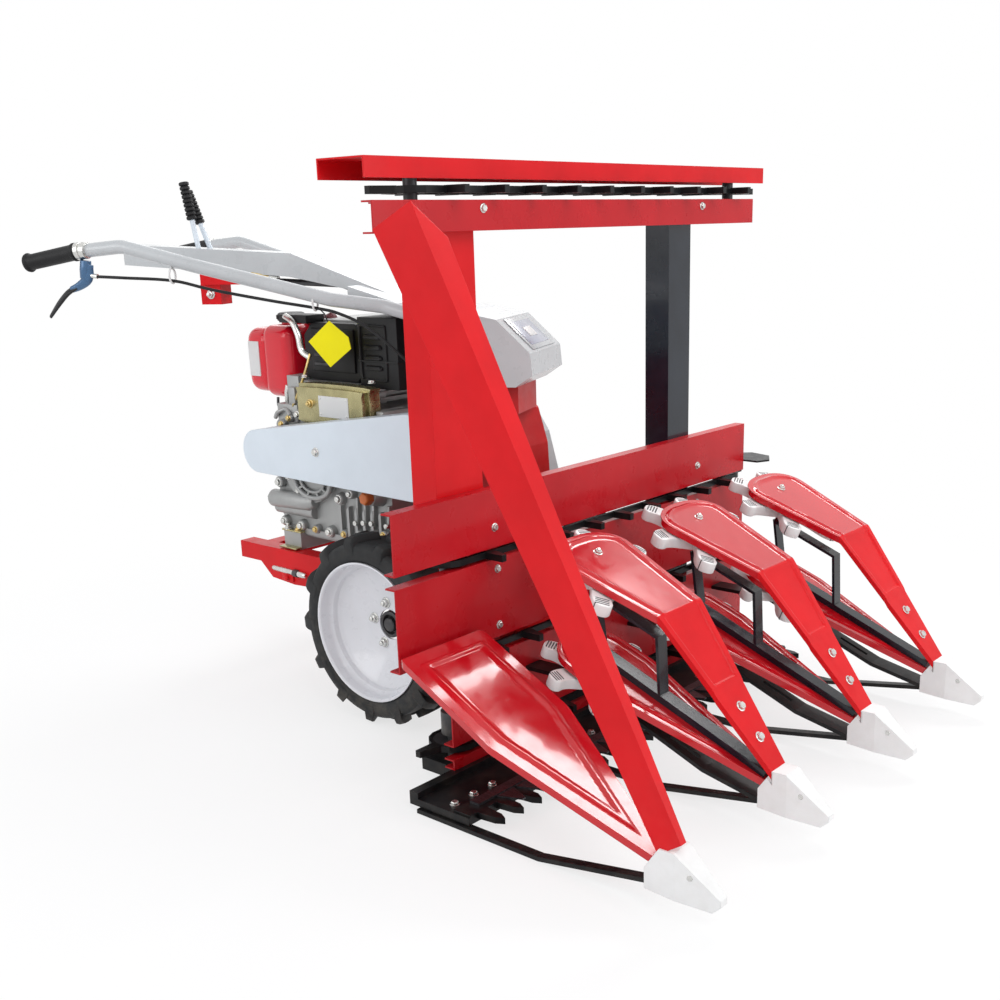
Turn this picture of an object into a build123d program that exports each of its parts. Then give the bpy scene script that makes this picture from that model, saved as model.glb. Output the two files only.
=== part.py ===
from build123d import *
import os
from math import atan, cos, degrees, hypot, pi, radians, sin, tan

# Walk-behind rice reaper, in millimetres.
# Machine frame: X forward from the axle, Y to the machine's left, Z up from the ground.
# export_all() then moves everything so that the origin is on the ground, midway
# between the outermost pieces.

os.makedirs("parts", exist_ok=True)

# Clearances
RUN_FIT = 0.3            # air between pieces that turn or slide on each other
SEAT = 0.0               # pieces bolted face to face

# Header: width, sheet, and the plane of its front sheets
HEADER_HALF = 574.0
SHEET = 3.0
FRONT_X = 293.0
FLANGE = 25.0
POST_DEPTH = 60.0
POST_FRONT_X = FRONT_X - FLANGE
POST_REAR_X = POST_FRONT_X - POST_DEPTH

# Row dividers: pitch, first divider, slope of stars and covers
PITCH = 340.0
FIRST_DIVIDER_Y = -557.0
SLOPE_DEG = 22.0
POD_YS = [FIRST_DIVIDER_Y + PITCH * n for n in (1, 2, 3)]

# Conveyor levels, from the ground up
CHAIN_ZS = {"low": 70.0, "second": 250.0, "middle": 431.0, "top": 1074.0}
CHAIN_HEIGHT = 12.0
CHAIN_THICK = 8.0
CHAIN_RADIUS = 48.0      # outside of the loop round a sprocket
CHAIN_X = 243.0          # centre line between the two runs
CHAIN_ENDS = {"low": (-398.0, 540.0), "second": (-398.0, 540.0),
              "middle": (-398.0, 540.0), "top": (-440.0, 560.0)}
LUG_PITCH = 100.0
LUG_REACH = 42.0
LUG_LEAN = 22.0
LUG_HEIGHT = 13.0
SPROCKET_TEETH = 16

# Front sheets: lower edge and upper edge of each
SHEET_ZS = {"low": (38.0, 58.0), "c": (84.0, 236.0), "b": (266.0, 420.0),
            "a": (442.0, 552.0), "two": (1006.0, 1057.0)}
LOW_SHEETS_RIGHT_Y = -450.0

# Header floor and knife
BASE_TOP = 38.0
BASE_BOTTOM = 12.0
BASE_HALF = 560.0
BASE_REAR_X = 284.0
BASE_INNER_X = 196.0
BASE_INNER_Y = (-440.0, 566.0)
BASE_FRONT_X = 430.0
GUARD_PITCH = 50.0
GUARD_TIP_X = 484.0
KNIFE_HALF = 520.0
KNIFE_THICK = 3.0
KNIFE_STROKE_HALF = 25.0

# Posts
POST_RIGHT = (-438.0, -316.0)
POST_LEFT = (290.0, 372.0)
POST_SHEET = 4.0

# Top hood
HOOD_X = (168.0, 279.0)
HOOD_TOP = 1124.0
HOOD_HEIGHT = 33.0
HOOD_Y = (-574.0, 655.0)

# Wheels
WHEEL_RADIUS = 207.0
TYRE_WIDTH = 104.0
CARCASS_RADIUS = 191.0
RIM_RADIUS = 150.0
WHEEL_Y = 280.0
AXLE_X = -66.0
HUB_DISH = 26.0
TREAD_LUGS = 13
AXLE_RADIUS = 15.0

# Engine, behind the axle
ENGINE_X = (-525.0, -140.0)
ENGINE_Y = (-165.0, 150.0)
ENGINE_BASE_Z = 330.0
CRANK_X = -470.0
CRANK_Z = 541.0
DRIVE_X = 20.0
DRIVE_Z = 572.0
FRAME_TOP = 300.0
FRAME_TUBE = 40.0
FRAME_HALF = 190.0
FRAME_REAR_X = -634.0

# Handlebar, swung to the machine's right about the stem
SWING_DEG = 22.0
STEM_X = 50.0
GRIP_REAR_R = 965.0
GRIP_LENGTH = 128.0
GRIP_RADIUS = 17.0
BAR_RADIUS = 14.0
BAR_HALF = 250.0


# Small builders

def slab(x0, x1, y0, y1, z0, z1):
    """A block between two corners."""
    return Pos((x0 + x1) / 2, (y0 + y1) / 2, (z0 + z1) / 2) * Box(x1 - x0, y1 - y0, z1 - z0)


def prism_y(points, y0, y1):
    """An XZ outline carried from y0 to y1."""
    face = make_face(Polyline(*[(x, y0, z) for x, z in points], close=True))
    return extrude(face, amount=y1 - y0, dir=(0, 1, 0))


def prism_z(points, z0, z1):
    """An XY outline carried from z0 to z1."""
    face = make_face(Polyline(*[(x, y, z0) for x, y in points], close=True))
    return extrude(face, amount=z1 - z0, dir=(0, 0, 1))


def prism_x(points, x0, x1):
    """A YZ outline carried from x0 to x1."""
    face = make_face(Polyline(*[(x0, y, z) for y, z in points], close=True))
    return extrude(face, amount=x1 - x0, dir=(1, 0, 0))


def beside(points, distance):
    """The points of a line drawn at a distance to the right of its direction."""
    moved = []
    for i, (x, z) in enumerate(points):
        normals = []
        for a, b in ((i - 1, i), (i, i + 1)):
            if a >= 0 and b < len(points):
                dx, dz = points[b][0] - points[a][0], points[b][1] - points[a][1]
                length = hypot(dx, dz)
                normals.append((dz / length, -dx / length))
        nx = sum(n[0] for n in normals)
        nz = sum(n[1] for n in normals)
        scale = distance / ((nx * normals[0][0] + nz * normals[0][1]))
        moved.append((x + nx * scale, z + nz * scale))
    return moved


def strip(points, thick, offset=0.0):
    """The outline of a bent flat strip whose upper side follows the points."""
    near = beside(points, offset) if offset else list(points)
    return near + beside(points, offset + thick)[::-1]


def rod(points, radius, bend=20.0):
    """A round bar along straight runs and bends."""
    if len(points) == 2:
        path = Line(*points)
    else:
        path = FilletPolyline(*points, radius=bend)
    return sweep(Plane(origin=path @ 0, z_dir=path % 0) * Circle(radius), path=path)


def upright(x, y, z0, z1, radius):
    """A round bar that stands on z0."""
    return Pos(x, y, (z0 + z1) / 2) * Cylinder(radius, z1 - z0)


def ring(radius, z, sides):
    """A regular outline round Z whose flats are at the radius."""
    return Pos(0, 0, z) * Rot(0, 0, 180 / sides) * RegularPolygon(radius / cos(pi / sides), sides)


def faceted(radius, z0, z1, sides):
    """A many-sided round bar."""
    return extrude(ring(radius, z0, sides), amount=z1 - z0)


def across(x, z, y0, y1, radius):
    """A round bar across the machine."""
    return Pos(x, (y0 + y1) / 2, z) * Rot(90, 0, 0) * Cylinder(radius, y1 - y0)


def solids_of(*shapes):
    """All solids of the shapes as one compound."""
    found = []
    for shape in shapes:
        found += list(shape.solids())
    return Compound(children=found)


def sheet_channel(z0, z1, y0, y1, flange=FLANGE):
    """A front sheet with a flange turned back at its lower and upper edge."""
    back = FRONT_X - flange
    inner = FRONT_X - SHEET
    return prism_y([(back, z0), (FRONT_X, z0), (FRONT_X, z1), (back, z1),
                    (back, z1 - SHEET), (inner, z1 - SHEET),
                    (inner, z0 + SHEET), (back, z0 + SHEET)], y0, y1)


# Slopes of the row dividers
SLOPE = tan(radians(SLOPE_DEG))
LOW_COVER_X0, LOW_COVER_Z0 = 305.0, 300.0
UP_COVER_X0, UP_COVER_Z0 = 475.0, 427.0
KINK_X = 635.0
BEAD_END_X = 730.0
COVER_FRONT = (848.0, 103.0)
TIP_TOP = (866.0, 108.0)


def low_cover_z(x):
    """Height of the lower covers' upper side."""
    return LOW_COVER_Z0 - SLOPE * (x - LOW_COVER_X0)


def up_cover_z(x):
    """Height of the upper covers' upper side, behind the kink."""
    return UP_COVER_Z0 - SLOPE * (x - UP_COVER_X0)


# Header sheets and posts

UPPER_BEAM_LEFT_Y = 588.0
TRAY_Y = (-470.0, 584.0)
POST_LOW_Y = -352.0

def make_beam_upper():
    z0, z1 = SHEET_ZS["two"]
    beam = sheet_channel(z0, z1, -HEADER_HALF, UPPER_BEAM_LEFT_Y)
    tray = slab(HOOD_X[0] + 4, POST_FRONT_X + 1, *TRAY_Y, z1 - SHEET, z1)
    return beam + tray


def make_post(span, opening_side):
    """A folded channel, open to the rear."""
    y0, y1 = span
    z0, z1 = BASE_TOP, SHEET_ZS["two"][1] - SHEET
    outer = slab(POST_REAR_X, POST_FRONT_X, y0, y1, z0, z1)
    inner = slab(POST_REAR_X - 1, POST_FRONT_X - POST_SHEET, y0 + POST_SHEET, y1 - POST_SHEET,
                 z0 - 1, z1 + 1)
    post = outer - inner
    if opening_side < 0:
        notch_top = SHEET_ZS["a"][0] + 20
        post -= slab(POST_REAR_X - 1, POST_FRONT_X + 1, y0 - 1, POST_LOW_Y, z0 - 1, notch_top)
        post += slab(POST_REAR_X, POST_FRONT_X, POST_LOW_Y, POST_LOW_Y + POST_SHEET, z0, notch_top + POST_SHEET)
    return post


def make_hood():
    """An inverted channel over the top conveyor, open at its ends."""
    outer = slab(*HOOD_X, *HOOD_Y, HOOD_TOP - HOOD_HEIGHT, HOOD_TOP)
    inner = slab(HOOD_X[0] + SHEET, HOOD_X[1] - SHEET, HOOD_Y[0] - 1, HOOD_Y[1] + 1,
                 HOOD_TOP - HOOD_HEIGHT - 1, HOOD_TOP - SHEET)
    return outer - inner


def make_base():
    """The header's floor box and the shelf that carries the knife."""
    shelf_z = BASE_TOP - 12
    box = slab(BASE_REAR_X, FRONT_X + 12, -BASE_HALF, BASE_HALF, BASE_BOTTOM, BASE_TOP)
    box += slab(BASE_INNER_X, BASE_REAR_X, *BASE_INNER_Y, BASE_BOTTOM, BASE_TOP)
    shelf = slab(FRONT_X + 12, BASE_FRONT_X, -BASE_HALF, BASE_HALF, BASE_BOTTOM, shelf_z)
    return box + shelf


def make_low_sheets():
    low = sheet_channel(*SHEET_ZS["low"], LOW_SHEETS_RIGHT_Y, HEADER_HALF)
    second = sheet_channel(*SHEET_ZS["c"], LOW_SHEETS_RIGHT_Y, HEADER_HALF)
    return low, second


# Conveyors

def loop_ring(y0, y1, z, outer, thick, height):
    """A closed belt round two sprockets."""
    def slot(radius):
        middle = slab(CHAIN_X - radius, CHAIN_X + radius, y0, y1, z - height / 2, z + height / 2)
        ends = [Pos(CHAIN_X, y, z) * faceted(radius, -height / 2, height / 2, SPROCKET_TEETH) for y in (y0, y1)]
        return middle + ends[0] + ends[1]
    return slot(outer) - slot(outer - thick)


def make_chain(level, y0, y1):
    """A conveyor chain with its lugs standing out all round the loop."""
    z = CHAIN_ZS[level]
    chain = loop_ring(y0, y1, z, CHAIN_RADIUS, CHAIN_THICK, CHAIN_HEIGHT)
    root = 5.0
    lug = prism_z([(-root, -13), (-root, 13), (LUG_REACH, -1), (LUG_REACH, -13)],
                  -LUG_HEIGHT / 2, LUG_HEIGHT / 2)
    count = int((y1 - y0) // LUG_PITCH)
    start = (y0 + y1 - (count - 1) * LUG_PITCH) / 2
    for n in range(count):
        y = start + n * LUG_PITCH
        chain += Pos(CHAIN_X + CHAIN_RADIUS, y, z) * lug
        chain += Pos(CHAIN_X - CHAIN_RADIUS, y, z) * Rot(0, 0, 180) * lug
    for y, turn in ((y0, -90), (y1, 90)):
        chain += Pos(CHAIN_X, y, z) * Rot(0, 0, turn) * Pos(CHAIN_RADIUS, 0, 0) * lug
    return chain


def make_sprockets():
    """Sprockets on their upright shafts, at the ends of the conveyors."""
    radius = CHAIN_RADIUS - CHAIN_THICK - RUN_FIT
    pieces = []
    for y, top_y in zip(CHAIN_ENDS["low"], CHAIN_ENDS["top"]):
        shaft = upright(CHAIN_X, y, BASE_TOP, CHAIN_ZS["middle"] + 24, 12)
        for level in ("low", "second", "middle"):
            shaft += Pos(CHAIN_X, y, CHAIN_ZS[level]) * faceted(radius, -5, 5, SPROCKET_TEETH)
        shaft += upright(CHAIN_X, y, CHAIN_ZS["low"] + 16, CHAIN_ZS["low"] + 62, 23)
        pieces.append(shaft)
        top = upright(CHAIN_X, top_y, SHEET_ZS["two"][1], HOOD_TOP - SHEET, 12)
        top += Pos(CHAIN_X, top_y, CHAIN_ZS["top"]) * faceted(radius, -5, 5, SPROCKET_TEETH)
        pieces.append(top)
    return pieces


# Row dividers

def cover_outline(kind, inset=0.0):
    """Half widths along X of an upper or lower cover, as a closed XY outline."""
    if kind == "upper":
        half = [(402.0, 34.0), (407.0, 62.0), (420.0, 85.0), (448.0, 99.0), (480.0, 97.0), (KINK_X, 68.0),
                (COVER_FRONT[0] + 2, 22.0)]
    else:
        half = [(390.0, 26.0), (398.0, 50.0), (415.0, 70.0), (445.0, 84.0), (520.0, 88.0), (836.0, 16.0)]
    right = [(x, -w) for x, w in half]
    left = [(x, w) for x, w in half[::-1]]
    outline = make_face(Polyline(*[(x, y, 0) for x, y in right + left], close=True))
    if inset:
        outline = offset(outline, -inset)
    return outline


def folded_cover(kind, line, edge=15.0):
    """A pressed cover: a bent sheet with its edge turned down all round and a raised bead."""
    def column(inset):
        return extrude(cover_outline(kind, inset), amount=700, dir=(0, 0, 1))
    reach = 140.0
    outer = prism_y(strip(line, edge), -reach, reach) & column(0)
    inner = prism_y(strip(line, edge * 2, SHEET), -reach, reach) & column(SHEET)
    bead_layer = prism_y(strip(line, 4.0, -2.0), -reach, reach)
    bead = bead_layer & (column(14) - column(19)) & slab(0, BEAD_END_X, -reach, reach, 0, 700)
    return (outer - inner) + bead


def upper_line():
    """The upper cover's line from its rear edge over the kink to the front."""
    return [(380.0, up_cover_z(380.0)), (KINK_X, up_cover_z(KINK_X)), COVER_FRONT,
            (COVER_FRONT[0] + 6, COVER_FRONT[1] - 7.3)]


def lower_line():
    return [(360.0, low_cover_z(360.0)), (850.0, low_cover_z(850.0))]


def tilted(x, y, z):
    """A place whose own Z leans forward by the dividers' slope."""
    return Pos(x, y, z) * Rot(0, SLOPE_DEG, 0)


STAR_X = 475.0
UP_STAR_DROP = 30.0
UP_STAR_RADIUS = 140.0
LOW_STAR_X = 470.0
LOW_STAR_Z = 200.0
LOW_STAR_RADIUS = 130.0
STAR_THICK = 14.0
STAR_FINGERS = 7
STAR_BORE = 8.0
PIN_CLEAR = 0.05


def make_star(radius):
    """A moulded star wheel: hooked fingers round a hub."""
    hub_radius = radius * 0.42
    wheel = faceted(hub_radius, -STAR_THICK / 2, STAR_THICK / 2, 2 * STAR_FINGERS)
    finger = prism_z([(hub_radius - 12, -19), (radius * 0.72, -24), (radius - 2, -10), (radius - 2, 8),
                      (radius * 0.7, 6), (hub_radius - 12, 19)], -STAR_THICK / 2, STAR_THICK / 2)
    for n in range(STAR_FINGERS):
        wheel += Rot(0, 0, n * 360 / STAR_FINGERS) * finger
    wheel += faceted(22, -STAR_THICK / 2 - 4, STAR_THICK / 2 + 4, 12)
    return wheel - Cylinder(STAR_BORE + PIN_CLEAR, 60)


ARM_THICK = 6.0
ARCH_WIDTH = 28.0
STRAP_WIDTH = 30.0
STRAP_THICK = 13.0


def strap_z(x):
    return low_cover_z(x) + STRAP_THICK / cos(radians(SLOPE_DEG))


def make_arch(y):
    """The flat bar arch that carries the upper star, its strap and the star's pin."""
    arm_drop = 44.0
    star_z = up_cover_z(STAR_X) - UP_STAR_DROP
    rear = STAR_X - 35.0
    front = 600.0
    arm_top_at_star = star_z - arm_drop

    def arm_z(x):
        return arm_top_at_star - SLOPE * (x - STAR_X)
    line = [(462.0, strap_z(462.0)), (rear + 6, arm_z(rear + 6)), (front, arm_z(front)),
            (606.0, strap_z(606.0))]
    arch = prism_y(strip(line, ARM_THICK), y - ARCH_WIDTH / 2, y + ARCH_WIDTH / 2)
    strap = prism_y(strip([(440.0, strap_z(440.0)), (826.0, strap_z(826.0))], STRAP_THICK),
                    y - STRAP_WIDTH / 2, y + STRAP_WIDTH / 2)
    place = tilted(STAR_X, y, star_z)
    drop = arm_drop * cos(radians(SLOPE_DEG))
    half = STAR_THICK / 2 + 4
    pin = place * (Pos(0, 0, (UP_STAR_DROP * cos(radians(SLOPE_DEG)) - SHEET - drop) / 2)
                   * Cylinder(STAR_BORE, UP_STAR_DROP * cos(radians(SLOPE_DEG)) - SHEET + drop - 1))
    collar = place * (Pos(0, 0, -(half + RUN_FIT + drop) / 2) * Cylinder(15, drop - half - RUN_FIT))
    return arch + strap + pin + collar


def make_star_carrier(y):
    """The slotted bar from the header to the tip, with the lower star's pin."""
    cosine = cos(radians(SLOPE_DEG))
    drop = (STAR_THICK / 2 + 18) / cosine

    def bar_z(x):
        return LOW_STAR_Z - drop - SLOPE * (x - LOW_STAR_X)
    line = [(FRONT_X, bar_z(440.0)), (440.0, bar_z(440.0)), (703.0, bar_z(703.0)), (818.0, 54.0)]
    bar = prism_y(strip(line, 8.0), y - 22, y + 22)
    slot = tilted(650.0, y, bar_z(650.0)) * Box(70, 9, 60)
    place = tilted(LOW_STAR_X, y, LOW_STAR_Z)
    above = (low_cover_z(LOW_STAR_X) - LOW_STAR_Z) * cosine - SHEET
    below = drop * cosine
    pin = place * (Pos(0, 0, (above - below) / 2) * Cylinder(STAR_BORE, above + below))
    half = STAR_THICK / 2 + 4
    collar = place * (Pos(0, 0, -(half + RUN_FIT + below) / 2) * Cylinder(15, below - half - RUN_FIT))
    return (bar - slot) + pin + collar


def make_skid(y, bend_x=590.0):
    """The runner along the ground from the header floor up to the tip."""
    line = [(FRONT_X + 14, 10.0), (bend_x, 8.0), (818.0, 46.0)]
    return prism_y(strip(line, 8.0), y - 9, y + 9)


def make_tip(y):
    """The pointed divider shoe."""
    side = prism_y([(816, 38), (930, 29), (943, 41), (943, 51), (868, 112), (842, 112), (816, 74)],
                   y - 40, y + 40)
    plan = prism_z([(800, y - 25), (870, y - 23), (943, y - 9), (943, y + 9), (870, y + 23), (800, y + 25)],
                   0, 200)
    return side & plan


DIVIDER_Y = -577.0


def make_divider_beam():
    """The long folded beam at the header's right end."""
    top_low, top_high = (FRONT_X + 0.5, 1013.0), (381.0, 1053.0)
    foot_low, foot_high = (838.0, 100.0), (880.0, 128.0)
    side = prism_y([top_low, top_high, foot_high, foot_low], DIVIDER_Y, DIVIDER_Y + SHEET)
    dx, dz = foot_high[0] - top_high[0], foot_high[1] - top_high[1]
    run = hypot(dx, dz)
    ux, uz = dx / run, dz / run
    start = 62.0
    wide, narrow = 48.0, 14.0
    corner = [(top_high[0], DIVIDER_Y, top_high[1]),
              (top_high[0] + ux * start, DIVIDER_Y + wide, top_high[1] + uz * start),
              (foot_high[0], DIVIDER_Y + narrow, foot_high[1]),
              (foot_high[0], DIVIDER_Y, foot_high[1])]
    front = extrude(make_face(Polyline(*corner, close=True)), amount=SHEET, dir=(uz, 0, -ux))
    return side + front


def make_divider_plate():
    """The broad pressed plate of the right-hand divider."""
    plan = [(LOW_COVER_X0, -582), (528, -612), (836, FIRST_DIVIDER_Y - 12), (836, FIRST_DIVIDER_Y + 12),
            (530, -400), (LOW_COVER_X0, -374)]
    line = [(250.0, low_cover_z(250.0)), (900.0, low_cover_z(900.0))]
    outline = make_face(Polyline(*[(x, y, 0) for x, y in plan], close=True))

    def column(inset):
        face = offset(outline, -inset) if inset else outline
        return extrude(face, amount=700, dir=(0, 0, 1))
    outer = prism_y(strip(line, 18.0), -700, -300) & column(0)
    inner = prism_y(strip(line, 40.0, SHEET), -700, -300) & column(SHEET)
    bead = prism_y(strip(line, 4.0, -2.0), -700, -300) & (column(22) - column(28))
    return (outer - inner) + bead


# Knife

def make_guards():
    """The finger bar: pointed guards along the shelf's front edge."""
    z0 = BASE_TOP - 12
    bar = slab(BASE_FRONT_X - 40, BASE_FRONT_X, -BASE_HALF + 4, BASE_HALF - 4, z0, z0 + 4)
    finger = prism_z([(BASE_FRONT_X, -13), (GUARD_TIP_X - 16, -9), (GUARD_TIP_X, 0),
                      (GUARD_TIP_X - 16, 9), (BASE_FRONT_X, 13)], z0 - 8, z0 + 4)
    count = int(2 * (BASE_HALF - 20) // GUARD_PITCH) + 1
    for n in range(count):
        bar += Pos(0, (n - (count - 1) / 2) * GUARD_PITCH, 0) * finger
    return bar


def make_knife():
    """The reciprocating knife: a back bar with triangular sections."""
    z0 = BASE_TOP - 12 + 4 + RUN_FIT
    knife = slab(BASE_FRONT_X - 34, BASE_FRONT_X - 12, -KNIFE_HALF, KNIFE_HALF, z0, z0 + KNIFE_THICK + 2)
    section = prism_z([(BASE_FRONT_X - 14, -24), (GUARD_TIP_X - 20, -4), (GUARD_TIP_X - 20, 4),
                       (BASE_FRONT_X - 14, 24)], z0, z0 + KNIFE_THICK)
    count = int(2 * KNIFE_HALF // GUARD_PITCH) - 1
    for n in range(count):
        knife += Pos(0, (n - (count - 1) / 2) * GUARD_PITCH, 0) * section
    return knife


# Wheels

def make_tyre(side):
    """A faceted carcass, one facet to each of the chevron lugs that stand on it."""
    half = TYRE_WIDTH / 2
    sides = 2 * TREAD_LUGS
    tyre = faceted(CARCASS_RADIUS, -34, 34, sides)
    for hand in (-1, 1):
        tyre += loft([ring(CARCASS_RADIUS, hand * 34, sides), ring(CARCASS_RADIUS - 16, hand * half, sides)])
    tyre -= faceted(RIM_RADIUS, -half - 1, half + 1, 2 * sides)
    rise = WHEEL_RADIUS - CARCASS_RADIUS
    lean = 24.0
    long = (half - 12 * sin(radians(lean))) / cos(radians(lean))
    lug = Box(rise + 20, 24, long)
    top = (WHEEL_RADIUS ** 2 - (12 * cos(radians(lean)) + long / 2 * sin(radians(lean))) ** 2) ** 0.5
    for n in range(sides):
        hand = 1 if n % 2 else -1
        place = Pos(top - (rise + 20) / 2, 0, hand * (long * cos(radians(lean)) / 2 - 1))
        tyre += Rot(0, 0, n * 360 / sides) * place * Rot(hand * lean, 0, 0) * lug
    return Pos(AXLE_X, side * WHEEL_Y, WHEEL_RADIUS) * Rot(90, 0, 0) * tyre


def make_rim(side):
    """A dished disc wheel with its hub and half axle."""
    half = TYRE_WIDTH / 2
    sides = 4 * TREAD_LUGS
    rim = faceted(RIM_RADIUS, -half, half, sides) - faceted(RIM_RADIUS - 5, -half - 1, half + 1, sides)
    edge, flat = RIM_RADIUS - 4, 62.0
    dish = loft([ring(flat, -HUB_DISH - 2, sides), ring(edge, 0, sides)]) + faceted(edge, 0, 6, sides)
    rim += dish - loft([ring(flat, -HUB_DISH + 4, sides), ring(edge, 6, sides)])
    rim += Pos(0, 0, -HUB_DISH - 22) * (Cylinder(34, 48) - Cylinder(AXLE_RADIUS, 60))
    placed = Pos(AXLE_X, side * WHEEL_Y, WHEEL_RADIUS) * Rot(-90 * side, 0, 0) * rim
    inner = GEARBOX_HALF + 25
    outer = WHEEL_Y - HUB_DISH + 14
    axle = across(AXLE_X, WHEEL_RADIUS, min(side * inner, side * outer), max(side * inner, side * outer), AXLE_RADIUS)
    return placed + axle


# Tractor unit

def make_frame():
    """The red box-tube frame under the engine, bolted to the gearbox's sides."""
    z0 = FRAME_TOP - FRAME_TUBE
    wall = 3.0
    frame = None
    for side in (-1, 1):
        y = side * FRAME_HALF
        rail = slab(FRAME_REAR_X, 60, y - 20, y + 20, z0, FRAME_TOP)
        rail -= slab(FRAME_REAR_X - 1, 61, y - 20 + wall, y + 20 - wall, z0 + wall, FRAME_TOP - wall)
        frame = rail if frame is None else frame + rail
        near, far = sorted((side * GEARBOX_HALF, side * (FRAME_HALF - 20)))
        frame += slab(AXLE_X - 50, AXLE_X + 40, near, far, z0, FRAME_TOP)
        skirt = prism_y([(-560, z0), (-520, z0 - 34), (-440, z0 - 40), (-330, z0 - 34), (-290, z0)],
                        y - 3 if side > 0 else y - 20, y + 20 if side > 0 else y + 3)
        frame += skirt - prism_y([(-590, z0 - 3), (-520, z0 - 31), (-440, z0 - 37), (-330, z0 - 31), (-260, z0 - 3)],
                                 *sorted((side * (FRAME_HALF - 5), side * (FRAME_HALF + 17))))
    for x in CROSS_XS:
        channel = slab(x - 20, x + 20, -FRAME_HALF + 20, FRAME_HALF - 20, z0, FRAME_TOP)
        channel -= slab(x - 17, x + 17, -FRAME_HALF + 21, FRAME_HALF - 21, z0 - 1, FRAME_TOP - wall)
        frame += channel
    plate = slab(FRAME_REAR_X + 4, CROSS_XS[0] - 20, -FRAME_HALF + 20, FRAME_HALF - 20, z0, z0 + 6)
    for y in (-HITCH_SPACING / 2, HITCH_SPACING / 2):
        plate -= upright(HITCH_X, y, z0 - 1, z0 + 7, HITCH_HOLE)
    return frame + plate


CROSS_XS = (-560.0, -230.0)
HITCH_X = -606.0
HITCH_SPACING = 120.0
HITCH_HOLE = 6.5
GEARBOX_HALF = 95.0
GEARBOX_FRONT_X = 96.0
GEARBOX_TOP = 640.0
AXLE_TUBE_END = 186.0


def make_gearbox():
    """The cast gearbox on the axle, with its two axle tubes."""
    case = prism_y([(-180, 150), (-120, 118), (50, 118), (GEARBOX_FRONT_X, 150), (GEARBOX_FRONT_X, 380),
                    (86, 560), (60, GEARBOX_TOP), (-70, GEARBOX_TOP), (-118, 560), (-120, 320), (-180, 280)],
                   -GEARBOX_HALF, GEARBOX_HALF)
    case = fillet(case.edges().filter_by(Axis.Y), 12)
    for side in (-1, 1):
        near, far = sorted((side * GEARBOX_HALF, side * AXLE_TUBE_END))
        case += across(AXLE_X, WHEEL_RADIUS, near, far, 34)
        near, far = sorted((side * (AXLE_TUBE_END - 14), side * AXLE_TUBE_END))
        case += across(AXLE_X, WHEEL_RADIUS, near, far, 48)
    for side in (-1, 1):
        near, far = sorted((side * (GEARBOX_HALF + 20), side * (AXLE_TUBE_END + 50)))
        case -= across(AXLE_X, WHEEL_RADIUS, near, far, AXLE_RADIUS + PIN_CLEAR)
    return case


CROSSBAR_ZS = (160.0, 340.0)


def make_hitch():
    """Crossbars of square tube behind the header's posts, and the arms that bolt to the gearbox."""
    rear = POST_REAR_X - 40
    wall = 4.0
    hitch = []
    for z in CROSSBAR_ZS:
        bar = slab(rear, POST_REAR_X, *CROSSBAR_Y, z - 20, z + 20)
        bar -= slab(rear + wall, POST_REAR_X - wall, CROSSBAR_Y[0] - 1, CROSSBAR_Y[1] + 1,
                    z - 20 + wall, z + 20 - wall)
        bar += slab(GEARBOX_FRONT_X, rear, -40, 40, z - 20, z + 20)
        hitch.append(bar)
    return hitch


CROSSBAR_Y = (-350.0, 372.0)


def make_discharge_guide():
    """The dark pointed plate at the left end of the middle conveyor."""
    return prism_z([(226, HEADER_HALF), (226, 640), (262, 668), (318, 652), (345, 606), (330, HEADER_HALF)],
                   462, 466)


def make_side_guard():
    """The grey bent bar on the gearbox's left side."""
    line = [(-30, 634), (33, 624), (66, 580), (90, 497), (84, 430), (60, 400)]
    return prism_y(strip(line, 12), GEARBOX_HALF, GEARBOX_HALF + 30)


TANK_X = (-640.0, -470.0)
TANK_Z = (644.0, 808.0)


def make_crankcase():
    """The engine's main casting: block, sump flange, side boss, ribs, and its feet."""
    x0, x1 = ENGINE_X
    y0, y1 = ENGINE_Y
    base = ENGINE_BASE_Z
    block = prism_y([(x0 + 30, base), (x1 - 6, base), (x1, base + 20), (x1, 560), (x1 - 70, 640),
                     (x0 + 70, 640), (x0 + 10, 590), (x0, base + 60)], y0, y1)
    block = fillet(block.edges().filter_by(Axis.Y), 10)
    block += slab(x0 + 22, x1 - 2, y0 - 8, y1 + 8, base + 6, base + 20)
    boss = across(CRANK_X + 70, CRANK_Z - 40, y0 - 14, y0, 86) - across(CRANK_X, CRANK_Z, y0 - 15, y0, 28)
    block += boss - across(*COVER_STUDS[0], y0 - 15, y0, 8)
    block += Pos(x0 + 66, y0 - 2, base + 62) * Rot(0, 90, 0) * Cylinder(16, 132)
    for n in range(RIBS):
        x = x1 - 30 - n * 26
        block += prism_y([(x - 4, base + 18), (x + 4, base + 18), (x + 4, base + 92), (x - 4, base + 84)], y0 - 12, y0)
    for x in (x0 + 60, x1 - 60):
        block += slab(x - 30, x + 30, y0 - 20, y1 + 20, FRAME_TOP, base + 10)
    for y in (-85, 65):
        block += slab(x0 - 20, x0 + 54, y - 18, y + 18, 560, TANK_Z[0])
    return block


RIBS = 6
COVER_STUDS = [(-400.0, 545.0), (-230.0, 556.0)]


def make_cylinder():
    """The finned cylinder and its head above the crankcase."""
    column = slab(-430, -270, -90, 90, 640, 800)
    for n in range(9):
        z = 650 + n * 14
        column += slab(-452, -244, -112, 112, z, z + 4)
    column += slab(-440, -260, -100, 100, 782, 822)
    return column


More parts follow.
